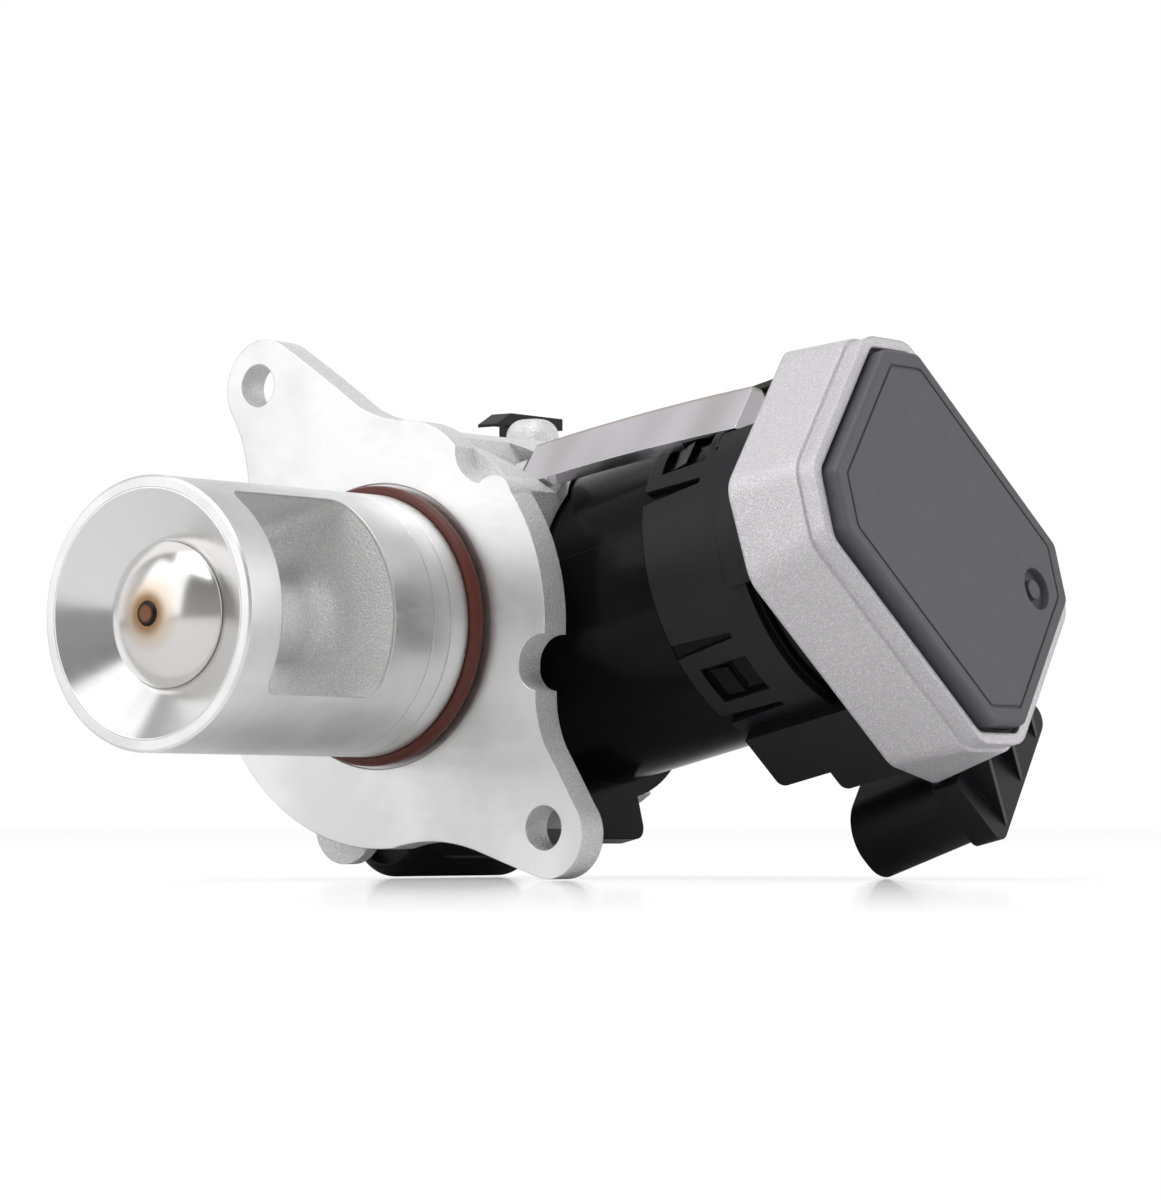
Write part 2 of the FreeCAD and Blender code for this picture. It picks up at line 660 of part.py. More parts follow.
def crank_carrier():
    """Planet carrier, crank shaft, disc and pin in one forging."""
    x, y = pin_place()
    body = disc(CARRIER_R, *CARRIER_PLATE).fuse([
        disc(CRANK_SHAFT_R, CRANK_DISC[0], CARRIER_PLATE[0] + 1),
        disc(CRANK_DISC_R, *CRANK_DISC),
        disc(CRANK_PIN_R, ROLLER[0] - 0.6, CRANK_DISC[0] + 1, x, y)])
    return body


def planet_pins():
    pins = [disc(PLANET_PIN_R, CARRIER_PLATE[1], GEAR_FACE[1] + 0.6, x, y) for _, _, x,
            y in planet_places()]
    return Part.makeCompound(pins)


def crank_roller():
    x, y = pin_place()
    return disc(ROLLER_R, ROLLER[0], ROLLER[1], x, y).cut(
        disc(CRANK_PIN_R + 0.02, ROLLER[0] - 1, ROLLER[1] + 1, x, y))


def crank_bearing():
    return tube(BASE_BORE_R, CRANK_SHAFT_R + RUNNING_GAP, BASE_WALL[0] + 1.0, BASE_WALL[1])


BASE_BORE_R = 11.0


def motor_barrel():
    """The black moulded motor case, with its foot, locating spigot and snap nubs."""
    inner = BARREL_R - BARREL_WALL
    body = disc(BARREL_R, BARREL_BASE[0], BARREL_END)
    body = body.fuse([disc(BARREL_BASE_R, *BARREL_BASE),
                      disc(SOCKET_R - SPIGOT_GAP, BASE_WALL[0], BARREL_BASE[0])])
    foot_x0, foot_x1, foot_y = BARREL_FOOT
    foot = block(foot_x0, foot_x1, foot_y, -BARREL_R + 4, *BARREL_BASE)
    foot = foot.makeFillet(3.0, [e for e in foot.Edges if is_upright(e)])
    pad = sector(BARREL_R + BARREL_STEP, BARREL_BASE[0], COLLAR[0] - 0.6,
                 *[a + HEAD_TURN for a in BARREL_STEP_ANGLES])
    body = body.fuse([foot, pad])
    body = body.fuse(snap_nubs())
    bores = [disc(inner, BASE_WALL[1], BARREL_END + 1),
             disc(BASE_BORE_R, BASE_WALL[0] - 1, BASE_WALL[1] + 1)]
    return body.cut(bores).removeSplitter()


def snap_nubs():
    """Ramped nubs that the collar's tabs snap over, one every quarter turn."""
    nubs = []
    for number in range(TABS):
        ramp = [(BARREL_R - 1, NUB[0]), (BARREL_R + 0.2, NUB[0]), (BARREL_R + NUB_HEIGHT, NUB[1]),
                (BARREL_R - 1, NUB[1])]
        nub = side_prism(ramp, -NUB_WIDE / 2, NUB_WIDE / 2)
        nub.rotate(V(0, 0, 0), V(0, 0, 1), HEAD_TURN + 360.0 * number / TABS)
        nubs.append(nub)
    return nubs


def end_plate(z, bore):
    return tube(BARREL_R - BARREL_WALL, bore, z, z + END_PLATE_T)


def bearing(z):
    return tube(BEARING_R, SHAFT_R + RUNNING_GAP, z, z + BEARING_T)


def stator_core():
    core = tube(BARREL_R - BARREL_WALL, STATOR_YOKE_R, *STATOR)
    poles = []
    for number in range(STATOR_POLES):
        pole = block(STATOR_BORE_R - 1, STATOR_YOKE_R + 1, -POLE_WIDTH / 2, POLE_WIDTH / 2, *STATOR)
        pole.rotate(V(0, 0, 0), V(0, 0, 1), 360.0 * number / STATOR_POLES)
        poles.append(pole)
    return core.fuse(poles).cut(disc(STATOR_BORE_R, STATOR[0] - 1, STATOR[1] + 1)).removeSplitter()


def stator_coils():
    coils = []
    for number in range(STATOR_POLES):
        half = POLE_WIDTH / 2
        coil = block(STATOR_BORE_R + 2.2, STATOR_YOKE_R - 0.6, -half - COIL_T, half + COIL_T,
                     STATOR[0] - COIL_T, STATOR[1] + COIL_T)
        coil = coil.cut(block(STATOR_BORE_R, STATOR_YOKE_R + 1, -half, half, *STATOR))
        coil.rotate(V(0, 0, 0), V(0, 0, 1), 360.0 * number / STATOR_POLES)
        coils.append(coil)
    return Part.makeCompound(coils)


def rotor_shaft():
    """The motor shaft; its thin end carries the sun gear."""
    step = GEAR_FACE[1] + 0.8
    return disc(SUN_SHAFT_R, GEAR_FACE[0] - 0.2, step).fuse(disc(SHAFT_R, step, SHAFT_END))


def rotor_core():
    return tube(ROTOR_CORE_R, SHAFT_R, STATOR[0] - 0.5, STATOR[1] + 0.5)


def rotor_magnet():
    return tube(ROTOR_R, ROTOR_CORE_R, STATOR[0] - 0.5, STATOR[1] + 0.5)


def sensor_magnet():
    return disc(SENSOR_MAGNET_R, SHAFT_END, SHAFT_END + SENSOR_MAGNET_T)


def tab_cuts():
    """Slots either side of each snap tab, and the window that the nub fills."""
    cuts = []
    for number in range(TABS):
        turn = 360.0 * number / TABS
        window = block(COLLAR_R - 3, COLLAR_R + 1, -TAB_WINDOW_WIDE / 2, TAB_WINDOW_WIDE / 2, *TAB_WINDOW)
        window.rotate(V(0, 0, 0), V(0, 0, 1), turn)
        cuts.append(window)
        for side in (1, -1):
            wide, narrow = TAB_SLOT_WIDE / 2, TAB_SLOT_NARROW / 2
            corners = [V(COLLAR_R - 3, -wide, COLLAR[0] - 1), V(COLLAR_R - 3, wide, COLLAR[0] - 1),
                       V(COLLAR_R - 3, narrow, TAB_SLOT_END), V(COLLAR_R - 3, -narrow, TAB_SLOT_END)]
            slot = Part.Face(Part.makePolygon(corners + corners[:1])).extrude(V(5, 0, 0))
            slot.rotate(V(0, 0, 0), V(0, 0, 1), turn + side * TAB_SLOT_ANGLE)
            cuts.append(slot)
    return cuts


def connector_drop():
    """How far the shroud's mouth leans outwards, so that its corner rests on the floor."""
    mouth_z = CONNECTOR_TOP[1] - CONNECTOR_LENGTH
    tilt = math.radians(MOTOR_TILT)
    low = (FLOOR_Z + MOTOR_BELOW - mouth_z * math.sin(tilt)) / math.cos(tilt)
    root = math.sqrt(2.0)
    corner_u = CONNECTOR_U + CONNECTOR_LEAN_U - CONNECTOR_WIDE / 2 + CONNECTOR_CORNER
    corner_v = (low + CONNECTOR_CORNER) * root - corner_u
    return corner_v - (CONNECTOR_V - CONNECTOR_DEEP / 2 + CONNECTOR_CORNER)


def shroud_solid(inset, z_top):
    """The leaning shroud, or the room inside it, from its mouth up to a height."""
    mouth_z = CONNECTOR_TOP[1] - CONNECTOR_LENGTH
    wires = []
    below = mouth_z - (1.0 if inset else 0.0)
    for z in (below, z_top):
        share = (CONNECTOR_TOP[1] - z) / CONNECTOR_LENGTH
        wires.append(rounded_wire(CONNECTOR_WIDE - 2 * inset, CONNECTOR_DEEP - 2 * inset,
                                  CONNECTOR_CORNER - inset, CONNECTOR_U + share * CONNECTOR_LEAN_U,
                                  CONNECTOR_V + share * connector_drop(), z))
    return Part.makeLoft(wires, True, True)


def connector_gussets():
    frame_side = HEAD_V - HEAD_REAR_HALF[1] - 0.15
    far = CONNECTOR_V - CONNECTOR_DEEP / 2 + 0.8
    z = CONNECTOR_TOP[1]
    ribs = []
    for u in GUSSETS:
        corners = [V(u, far, z - 0.5), V(u, far, z), V(u, frame_side, z + GUSSET_HEIGHT),
                   V(u, frame_side, z - 0.5)]
        ribs.append(Part.Face(Part.makePolygon(corners + corners[:1])).extrude(V(GUSSET_T, 0, 0)))
    return ribs


def base_skirt(z, v):
    skirt = block(SKIRT_U, -8.0, v, SKIRT_FROM_V, z, BASE_PLATE[1])
    corner = [e for e in skirt.Edges if abs(e.CenterOfMass.y - v) < 0.01 and e.CenterOfMass.z < z + 0.01]
    return skirt.makeFillet(1.6, corner)


def connector_base():
    """Snap collar, base plate under the head and connector shroud, one moulding."""
    sleeve = disc(COLLAR_R, *COLLAR).cut(tab_cuts())
    neck = disc(NECK_R, COLLAR[1] - 1.5, BASE_PLATE[1])
    inset = (HEAD_REAR_HALF[0] - BASE_INSET, HEAD_REAR_HALF[1] - BASE_INSET)
    plate = head_slab(inset, *BASE_PLATE)
    flares = [sector(FLARE_R, COLLAR[1] - 3, BASE_PLATE[1], *angles) for angles in FLARE_ANGLES]
    skirts = [base_skirt(z, v) for z, v in SKIRT_STEPS]
    u0, u1, top = PAD_BLOCK
    pad = block(u0, u1, BARREL_R - 4.0, top, COLLAR[1] - 5, BASE_PLATE[1])
    bridge = block(CONNECTOR_U - CONNECTOR_WIDE / 2, CONNECTOR_U + CONNECTOR_WIDE / 2,
                   CONNECTOR_V - CONNECTOR_DEEP / 2, HEAD_V - HEAD_REAR_HALF[1] - 0.15, *CONNECTOR_TOP)
    bridge = bridge.makeFillet(3.0,
                               [e for e in bridge.Edges if is_upright(e) and e.CenterOfMass.y < CONNECTOR_V])
    web = block(CONNECTOR_U - CONNECTOR_WIDE / 2 + 1, CONNECTOR_U + CONNECTOR_WIDE / 2 - 1,
                HEAD_V - HEAD_REAR_HALF[1] - 2, HEAD_V - HEAD_REAR_HALF[1] + 6, BASE_PLATE[0], BASE_PLATE[1])
    body = sleeve.fuse([neck, plate, pad, bridge, web,
                        shroud_solid(0.0, CONNECTOR_TOP[0] + 1)] + flares + skirts)
    body = body.fuse(connector_gussets())
    bore = disc(BARREL_R + COLLAR_GAP, COLLAR[0] - 2, BARREL_END + 0.3)
    cuts = [bore, disc(NECK_BORE_R, BARREL_END - 1, BASE_PLATE[1] + 1),
            shroud_solid(CONNECTOR_WALL, CONNECTOR_TOP[1] - CONNECTOR_FLOOR)]
    return body.cut(cuts + nub_room() + strap_room()).removeSplitter()


def strap_room():
    """Room for the ends of both straps in the moulding."""
    u0 = STRAP_OFFSET - STRAP_WIDE / 2 - 0.3
    u1 = STRAP_OFFSET + STRAP_WIDE / 2 + 0.3
    low = STRAP_BOW[2][1] - STRAP_T - 0.3
    bend = STRAP_BOW[2][0]
    top = BARREL_R + 10.0
    rooms = []
    for turn in (0.0, SECOND_STRAP_TURN):
        for piece in (block(u0, u1, low, top, bend - 7.8, bend + 3.2),
                      block(u0, u1, STRAP_TAIL[1] - STRAP_T - 0.4, top, bend - 0.6, BASE_PLATE[1] - 0.6)):
            piece.rotate(V(0, 0, 0), V(0, 0, 1), turn)
            rooms.append(piece)
    return rooms


def nub_room():
    return [tube(BARREL_R + NUB_HEIGHT + COLLAR_GAP, BARREL_R - 1, NUB[0] - 1.5, TAB_WINDOW[1]).common(
        wedge) for wedge in tab_wedges()]


def tab_wedges():
    wedges = []
    for number in range(TABS):
        turn = 360.0 * number / TABS
        room = block(0, COLLAR_R + 2, -NUB_WIDE / 2 - 0.3, NUB_WIDE / 2 + 0.3, NUB[0] - 2, TAB_WINDOW[1])
        room.rotate(V(0, 0, 0), V(0, 0, 1), turn)
        wedges.append(room)
    return wedges


def connector_pins():
    floor = CONNECTOR_TOP[1] - CONNECTOR_FLOOR
    middle = (CONNECTOR_TOP[1] - floor) / CONNECTOR_LENGTH
    v = CONNECTOR_V + middle * connector_drop() - 0.4
    pins = []
    for number in range(PINS):
        u = CONNECTOR_U - 1.0 + PIN_PITCH * (number - (PINS - 1) / 2)
        pins.append(block(u - PIN_WIDE / 2, u + PIN_WIDE / 2, v - PIN_THICK / 2, v + PIN_THICK / 2,
                          floor - PIN_TIP, floor))
    return Part.makeCompound(pins)


def head_frame():
    """Die-cast frame round the board, drafted to a ridge with a stepped lip in front."""
    centre = (HEAD_U, HEAD_V)
    wall = Part.makeLoft([octagon_wire(HEAD_REAR_HALF, REAR_CHAMFERS, HEAD_REAR, centre),
                          octagon_wire(HEAD_RIDGE_HALF, even(HEAD_CHAMFER), HEAD_RIDGE,
                                       centre)], True, True)
    slanted = [e for e in wall.Edges if abs(e.Vertexes[0].Point.z - e.Vertexes[-1].Point.z) > 5]
    wall = wall.makeFillet(HEAD_CORNER, slanted)
    wall = wall.fuse(head_slab(LIP_HALF, HEAD_RIDGE - 1, HEAD_FRONT, HEAD_CHAMFER - 0.8))
    floor = HEAD_REAR + HEAD_FLOOR
    wall = wall.cut([head_slab(OPENING_HALF, COVER_LEDGE, HEAD_FRONT + 1, HEAD_CHAMFER - 1.4, 3.0),
                     head_slab(POCKET_HALF, floor, HEAD_FRONT + 1, HEAD_CHAMFER - 2.2, 2.0),
                     disc(SHAFT_HOLE_R, HEAD_REAR - 1, floor + 1)])
    posts = [disc(POST_R, floor - 0.5, floor + POST_H, u, v) for u, v in post_places()]
    return wall.fuse(posts).removeSplitter()


def post_places():
    reach_u = BOARD_HALF[0] - POST_R - 0.4
    reach_v = BOARD_HALF[1] - 9.5
    return [(HEAD_U + su * reach_u, HEAD_V + sv * reach_v) for su in (1, -1) for sv in (1, -1)]


def head_cover():
    """The cover: a shallow cap whose skirt stands on the frame's ledge."""
    body = head_slab(COVER_HALF, COVER_LEDGE, COVER_TOP, COVER_CHAMFER, 2.5)
    top = [e for e in body.Edges if e.BoundBox.ZMin > COVER_TOP - 0.01]
    body = body.makeFillet(COVER_EDGE, top)
    hollow = (COVER_HALF[0] - COVER_T, COVER_HALF[1] - COVER_T)
    outer = (COVER_HALF[0] - PANEL_INSET, COVER_HALF[1] - PANEL_INSET)
    inner = (outer[0] - PANEL_GROOVE, outer[1] - PANEL_GROOVE)
    groove = head_slab(outer, COVER_TOP - PANEL_GROOVE_DEPTH, COVER_TOP + 1, COVER_CHAMFER - 0.9, 1.5).cut(
        head_slab(inner, COVER_TOP - 1, COVER_TOP + 2, COVER_CHAMFER - 1.1, 1.2))
    u, v = HEAD_U + DIMPLE_AT[0], HEAD_V + DIMPLE_AT[1]
    dimple = disc(DIMPLE_R, COVER_TOP - DIMPLE_DEPTH, COVER_TOP + 1, u, v).cut(
        disc(DIMPLE_POST_R, COVER_TOP - DIMPLE_DEPTH - 1, COVER_TOP - 0.5, u, v))
    return body.cut([head_slab(hollow, COVER_LEDGE - 1, COVER_TOP - COVER_T, COVER_CHAMFER - 1.2, 1.5),
                     groove, dimple])


def cover_seal():
    gap = 0.03
    inside = (COVER_HALF[0] + gap, COVER_HALF[1] + gap)
    outside = (OPENING_HALF[0] - gap, OPENING_HALF[1] - gap)
    return head_slab(outside, COVER_LEDGE, COVER_SEAL_TOP, HEAD_CHAMFER - 1.4, 3.0).cut(
        head_slab(inside, COVER_LEDGE - 1, COVER_SEAL_TOP + 1, COVER_CHAMFER, 2.5))


def board_z():
    return HEAD_REAR + HEAD_FLOOR + POST_H


def circuit_board():
    return head_slab(BOARD_HALF, board_z(), board_z() + BOARD_T, HEAD_CHAMFER - 2.2, 1.5)


def board_parts():
    top = board_z() + BOARD_T
    parts = [disc(4.0, top, top + 4.0, HEAD_U - 14, HEAD_V + 18),
             disc(4.0, top, top + 4.0, HEAD_U - 4, HEAD_V + 18),
             block(HEAD_U + 6, HEAD_U + 16, HEAD_V + 12, HEAD_V + 22, top, top + 3.0),
             block(HEAD_U - 8, HEAD_U + 4, HEAD_V - 8, HEAD_V + 4, top, top + 1.8)]
    return Part.makeCompound(parts)


def angle_sensor():
    return block(-2.5, 2.5, -2.5, 2.5, board_z() - 1.2, board_z())


def strap():
    """A spring strap: a bowed strip, its ends bent down, its near edge turned down."""
    start, middle, end = STRAP_BOW

    def strip(shift, u0, u1, thick):
        def at(point, drop):
            return V(u0, point[1] - drop, point[0])
        low = shift + thick
        edges = [Part.LineSegment(at(STRAP_FOOT, shift), at(start, shift)).toShape(),
                 Part.Arc(at(start, shift), at(middle, shift), at(end, shift)).toShape(),
                 Part.LineSegment(at(end, shift), at(STRAP_TAIL, shift)).toShape(),
                 Part.LineSegment(at(STRAP_TAIL, shift), at(STRAP_TAIL, low)).toShape(),
                 Part.LineSegment(at(STRAP_TAIL, low), at(end, low)).toShape(),
                 Part.Arc(at(end, low), at(middle, low), at(start, low)).toShape(),
                 Part.LineSegment(at(start, low), at(STRAP_FOOT, low)).toShape(),
                 Part.LineSegment(at(STRAP_FOOT, low), at(STRAP_FOOT, shift)).toShape()]
        return Part.Face(Part.Wire(edges)).extrude(V(u1 - u0, 0, 0))

    far = STRAP_OFFSET - STRAP_WIDE / 2
    near = STRAP_OFFSET + STRAP_WIDE / 2
    lip = strip(STRAP_T - 0.01, far, far + STRAP_T, STRAP_LIP).common(
        block(far - 1, near, -99, 99, STRAP_BOW[0][0] + 2.0, STRAP_BOW[2][0] - 12.0))
    return strip(0.0, far, near, STRAP_T).fuse(lip)


def rounded_slab(half, corner, z0, z1):
    cx, cy = CAP_MIDDLE
    slab = block(cx - half[0], cx + half[0], cy - half[1], cy + half[1], z0, z1)
    return slab.makeFillet(corner, [e for e in slab.Edges if is_upright(e)])


def end_cap():
    """The black cap on the drum's open side, with a foot below and a clip above."""
    back = DRUM_BACK - CAP_T
    inner = (CAP_HALF[0] - CAP_RIM, CAP_HALF[1] - CAP_RIM)
    hollow = (inner[0] - CAP_T, inner[1] - CAP_T)
    plate = rounded_slab(CAP_HALF, CAP_CORNER, back, DRUM_BACK)
    dome = rounded_slab(inner, CAP_CORNER - CAP_RIM, back - CAP_STEP, back)
    dome = dome.makeFillet(1.5, [e for e in dome.Edges if e.BoundBox.ZMax < back - CAP_STEP + 0.01])
    room = disc(SOCKET_R - 3.0, back - CAP_STEP + CAP_T, DRUM_BACK + 1)
    groove = tube(CAP_SEAL[1], CAP_SEAL[0], DRUM_BACK - CAP_SEAL_T, DRUM_BACK + 1)
    cap = to_motor(plate.fuse(dome).cut([room, groove]))
    sleeve = x_disc(SHOE_R + FOOT_WALL, *FOOT, SHOE_Y, shoe_z())
    sleeve = sleeve.makeFillet(3.0, [e for e in sleeve.Edges if e.BoundBox.XLength < 0.01])
    x0, x1, y0, y1 = CLIP
    low = CLIP_TOP - CLIP_T
    clip = block(x0, x1, y0, y0 + CLIP_WIDE, low,
                 CLIP_TOP).fuse(block(x1 - CLIP_LEG, x1, y0, y1, low, CLIP_TOP))
    tip = [V(x0, y0, low), V(x0 - CLIP_TIP, y0, low - 0.6), V(x0 - CLIP_TIP, y0, low), V(x0, y0, CLIP_TOP)]
    tip = Part.Face(Part.makePolygon(tip + tip[:1])).extrude(V(0, CLIP_WIDE, 0))
    leg = block(x1 - CLIP_LEG, x1, y1 - CLIP_WIDE, y1, 10.0, CLIP_TOP)
    front = to_motor(block(-90, 90, -90, 90, DRUM_BACK, 90))
    boss = x_disc(SHOE_R + 0.05, 0, SHOE_END + 0.3, SHOE_Y, shoe_z())
    body_room = x_disc(DRUM_R + 0.3, FLANGE_T, DRUM_END + 0.3).common(front)
    pad_room = to_motor(disc(PAD_R + 0.3, DRUM_BACK, PAD_TOP))
    inside = to_motor(disc(SOCKET_R - 3.0, back - CAP_STEP + CAP_T, DRUM_BACK + 1).fuse(groove))
    return cap.fuse([sleeve, clip, tip, leg]).cut([boss, body_room, pad_room, inside]).removeSplitter()


def cap_seal():
    return to_motor(tube(CAP_SEAL[1], CAP_SEAL[0], DRUM_BACK - CAP_SEAL_T, DRUM_BACK))


def save(name, shape):
    shape.exportStep("parts/" + name + ".step")
    solids = shape.Solids
    print(name, len(solids), "solid(s)", round(sum(s.Volume for s in solids) / 1000.0, 2), "cm3",
          shape.isValid())


save("valve_housing", valve_housing())
save("seat_ring", seat_ring())
save("poppet_head", poppet_head())
save("valve_stem", valve_stem())
save("stem_bush", stem_bush())
save("stem_seal", stem_seal())
save("return_spring", return_spring())
save("spring_retainer", spring_retainer())
save("stem_yoke", stem_yoke())
save("yoke_pin", to_motor(yoke_pin_local()).cut(x_disc(STEM_R, 0, STEM_END)))
save("flange_o_ring", flange_o_ring())
save("crank_carrier", to_motor(crank_carrier()))
save("planet_pins", to_motor(planet_pins()))
save("crank_roller", to_motor(crank_roller()))
save("crank_bearing", to_motor(crank_bearing()))
save("sun_gear", to_motor(sun_gear()))
for number, angle, x, y in planet_places():
    save("planet_gear_" + str(number + 1), to_motor(planet_gear(angle, x, y)))
save("ring_gear", to_motor(ring_gear()))
save("motor_barrel", to_motor(motor_barrel()))
save("drive_end_plate", to_motor(end_plate(DRIVE_PLATE_Z, BEARING_R)))
save("drive_end_bearing", to_motor(bearing(DRIVE_PLATE_Z)))
save("head_end_plate", to_motor(end_plate(HEAD_PLATE_Z, BEARING_R)))
save("head_end_bearing", to_motor(bearing(HEAD_PLATE_Z)))
save("stator_core", to_motor(stator_core()))
save("stator_coils", to_motor(stator_coils()))
save("rotor_shaft", to_motor(rotor_shaft()))
save("rotor_core", to_motor(rotor_core()))
save("rotor_magnet", to_motor(rotor_magnet()))
save("sensor_magnet", to_motor(sensor_magnet()))
save("connector_base", to_head(connector_base()))
save("connector_pins", to_head(connector_pins()))
save("head_frame", to_head(head_frame()))
save("head_cover", to_head(head_cover()))
save("cover_seal", to_head(cover_seal()))
save("circuit_board", to_head(circuit_board()))
save("board_parts", to_head(board_parts()))
save("angle_sensor", to_head(angle_sensor()))
save("upper_strap", to_head(strap()))
save("rear_strap", to_motor(strap(), HEAD_TURN + SECOND_STRAP_TURN))
save("end_cap", end_cap())
save("cap_seal", cap_seal())
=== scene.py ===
# %% [markdown]
# An exhaust gas recirculation valve, dressed for its picture. Its solid pieces were
# drawn as a machine part, and they could be modelled again here by hand. Loading them
# instead keeps each hole and joint where it was designed, and leaves only the finish.

import json
import math

import bpy
from mathutils import Matrix, Vector


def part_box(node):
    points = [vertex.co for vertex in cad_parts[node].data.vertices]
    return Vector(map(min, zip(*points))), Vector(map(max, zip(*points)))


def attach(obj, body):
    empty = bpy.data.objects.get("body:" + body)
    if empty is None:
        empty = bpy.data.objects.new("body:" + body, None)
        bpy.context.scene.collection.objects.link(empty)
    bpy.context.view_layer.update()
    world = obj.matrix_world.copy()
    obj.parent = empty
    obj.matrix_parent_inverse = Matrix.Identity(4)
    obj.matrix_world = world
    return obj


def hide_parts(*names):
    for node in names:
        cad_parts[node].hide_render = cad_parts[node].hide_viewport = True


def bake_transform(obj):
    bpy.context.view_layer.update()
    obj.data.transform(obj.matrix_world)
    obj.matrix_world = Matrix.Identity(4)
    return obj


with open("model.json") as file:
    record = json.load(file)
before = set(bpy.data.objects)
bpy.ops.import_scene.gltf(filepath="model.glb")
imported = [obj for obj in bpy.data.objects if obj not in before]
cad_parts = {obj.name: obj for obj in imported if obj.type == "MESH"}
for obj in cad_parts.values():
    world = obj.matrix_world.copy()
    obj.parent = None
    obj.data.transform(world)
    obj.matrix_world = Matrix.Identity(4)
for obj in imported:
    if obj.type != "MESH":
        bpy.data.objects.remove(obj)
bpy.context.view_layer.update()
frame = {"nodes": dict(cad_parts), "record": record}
nodes = frame["nodes"]
print("nodes loaded:", len(nodes))

# %% [markdown]
# The frame brings each solid piece with its shape, its place and the body it rides
# on. A material could be set piece by piece, but many pieces share a finish. The
# record says which, so they are sorted first, and each later cell dresses one kind.

# %% Pieces by finish
pieces_of = {}
for part in frame["record"]["subparts"]:
    pieces_of.setdefault(part["material_slot"], []).append(part["node"])


def dress(finish, material):
    """Gives a material to every piece of one finish, and prints how large each is."""
    for name in pieces_of[finish]:
        piece = nodes[name]
        piece.data.materials.clear()
        piece.data.materials.append(material)
        low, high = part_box(name)
        print(name, "in", material.name, [round(1000.0 * side, 1) for side in high - low], "mm")


print("finishes:", sorted(pieces_of))

# %% [markdown]
# The motor stands out of the housing at a tilt, and the head is turned an eighth of
# a turn about the motor's axis. The streaks on the straps and the motor's inner
# pieces follow those directions, so they are named once here, in millimetres.

# %% Directions of the motor and the head
TILT = math.radians(13.5)
MOTOR_FOOT = Vector((42.0, 0.0, -5.08))
MOTOR_AXIS = Vector((0.0, -math.cos(TILT), math.sin(TILT)))
MOTOR_UP = Vector((0.0, math.sin(TILT), math.cos(TILT)))
ACROSS = Vector((1.0, 0.0, 0.0))
HEAD_U = (ACROSS + MOTOR_UP) / math.sqrt(2.0)
print("motor's axis:", [round(c, 3) for c in MOTOR_AXIS], "strap's side:", [round(c, 3) for c in HEAD_U])

# %% [markdown]
# A finish is a sum: so much grain, so much shine, more of both near an edge. Nodes
# could be placed and linked one by one, but a sum is easier to read as Python. A Term
# wraps one output of a node, and adding or multiplying Terms places the node for it.

# %% Sums of shader nodes


class Term:
    def __init__(self, web, socket):
        self.web = web
        self.socket = socket

    def math(self, operation, *others):
        return self.web.add("ShaderNodeMath", {"operation": operation}, self, *others)

    def __add__(self, other):
        return self.math("ADD", other)

    def __sub__(self, other):
        return self.math("SUBTRACT", other)

    def __mul__(self, other):
        return self.math("MULTIPLY", other)

    __radd__ = __add__
    __rmul__ = __mul__

    def __rsub__(self, other):
        return self.math("MULTIPLY_ADD", -1.0, other)

    def __gt__(self, other):
        return self.math("GREATER_THAN", other)

    def __lt__(self, other):
        return self.math("LESS_THAN", other)

    def __pow__(self, other):
        return self.math("POWER", other)

    def step(self, low, high):
        """0 below the low value, 1 above the high one, smooth between them."""
        return self.web.add("ShaderNodeMapRange", {"interpolation_type": "SMOOTHSTEP"},
                            self, low, high, 0.0, 1.0)

    def ramp(self, low, high, start, end):
        """Goes evenly from start at the low value to end at the high one, and stays there."""
        return self.web.add("ShaderNodeMapRange", {}, self, low, high, start, end)


print("sums of nodes: + - * < > ** step ramp")

# %% [markdown]
# Every material, and the studio round the part, is a web of nodes. The Web class has
# the few calls that all of them need: add places any node, and split, join, mix, dot
# and bump place the ones that come again and again.

# %% A web of shader nodes
COLOUR_SOCKETS, NUMBER_SOCKETS = (6, 7, 2), (2, 3, 0)


class Web:
    def __init__(self, tree):
        self.tree = tree

    def add(self, kind, settings, *values, outlet=0, **named):
        """Places a node, with its settings first and then its sockets, and returns one output."""
        node = self.tree.nodes.new(kind)
        for key, value in settings.items():
            setattr(node, key, value)
        for key, value in [*enumerate(values), *named.items()]:
            self.feed(node.inputs[key], value)
        return Term(self, node.outputs[outlet])

    def feed(self, socket, value):
        if isinstance(value, Term):
            self.tree.links.new(value.socket, socket)
        else:
            socket.default_value = value

    def end(self, kind, value):
        """Leads a shader to the output node, which has no output of its own."""
        self.feed(self.tree.nodes.new(kind).inputs[0], value)

    def split(self, vector):
        node = self.tree.nodes.new("ShaderNodeSeparateXYZ")
        self.feed(node.inputs[0], vector)
        return [Term(self, out) for out in node.outputs]

    def join(self, x, y, z):
        return self.add("ShaderNodeCombineXYZ", {}, x, y, z)

    def dot(self, vector, direction):
        """How far a vector reaches along a direction."""
        return self.add("ShaderNodeVectorMath", {"operation": "DOT_PRODUCT"}, vector, tuple(direction),
                        outlet="Value")

    def mix(self, share, a, b):
        """Blends two colours or two numbers by a share from 0 to 1."""
        colours = isinstance(a, tuple) or isinstance(b, tuple)
        first, second, result = COLOUR_SOCKETS if colours else NUMBER_SOCKETS
        node = self.tree.nodes.new("ShaderNodeMix")
        node.data_type = "RGBA" if colours else "FLOAT"
        self.feed(node.inputs[0], share)
        for index, value in ((first, a), (second, b)):
            self.feed(node.inputs[index], (*value, 1.0) if isinstance(value, tuple) else value)
        return Term(self, node.outputs[result])

    def bump(self, height, millimetres, normal=None, strength=1.0):
        extra = {"Normal": normal} if normal is not None else {}
        return self.add("ShaderNodeBump", {}, Height=height, Strength=strength,
                        Distance=millimetres / 1000.0, **extra)


print("webs ready:", [name for name in vars(Web) if not name.startswith("_")])

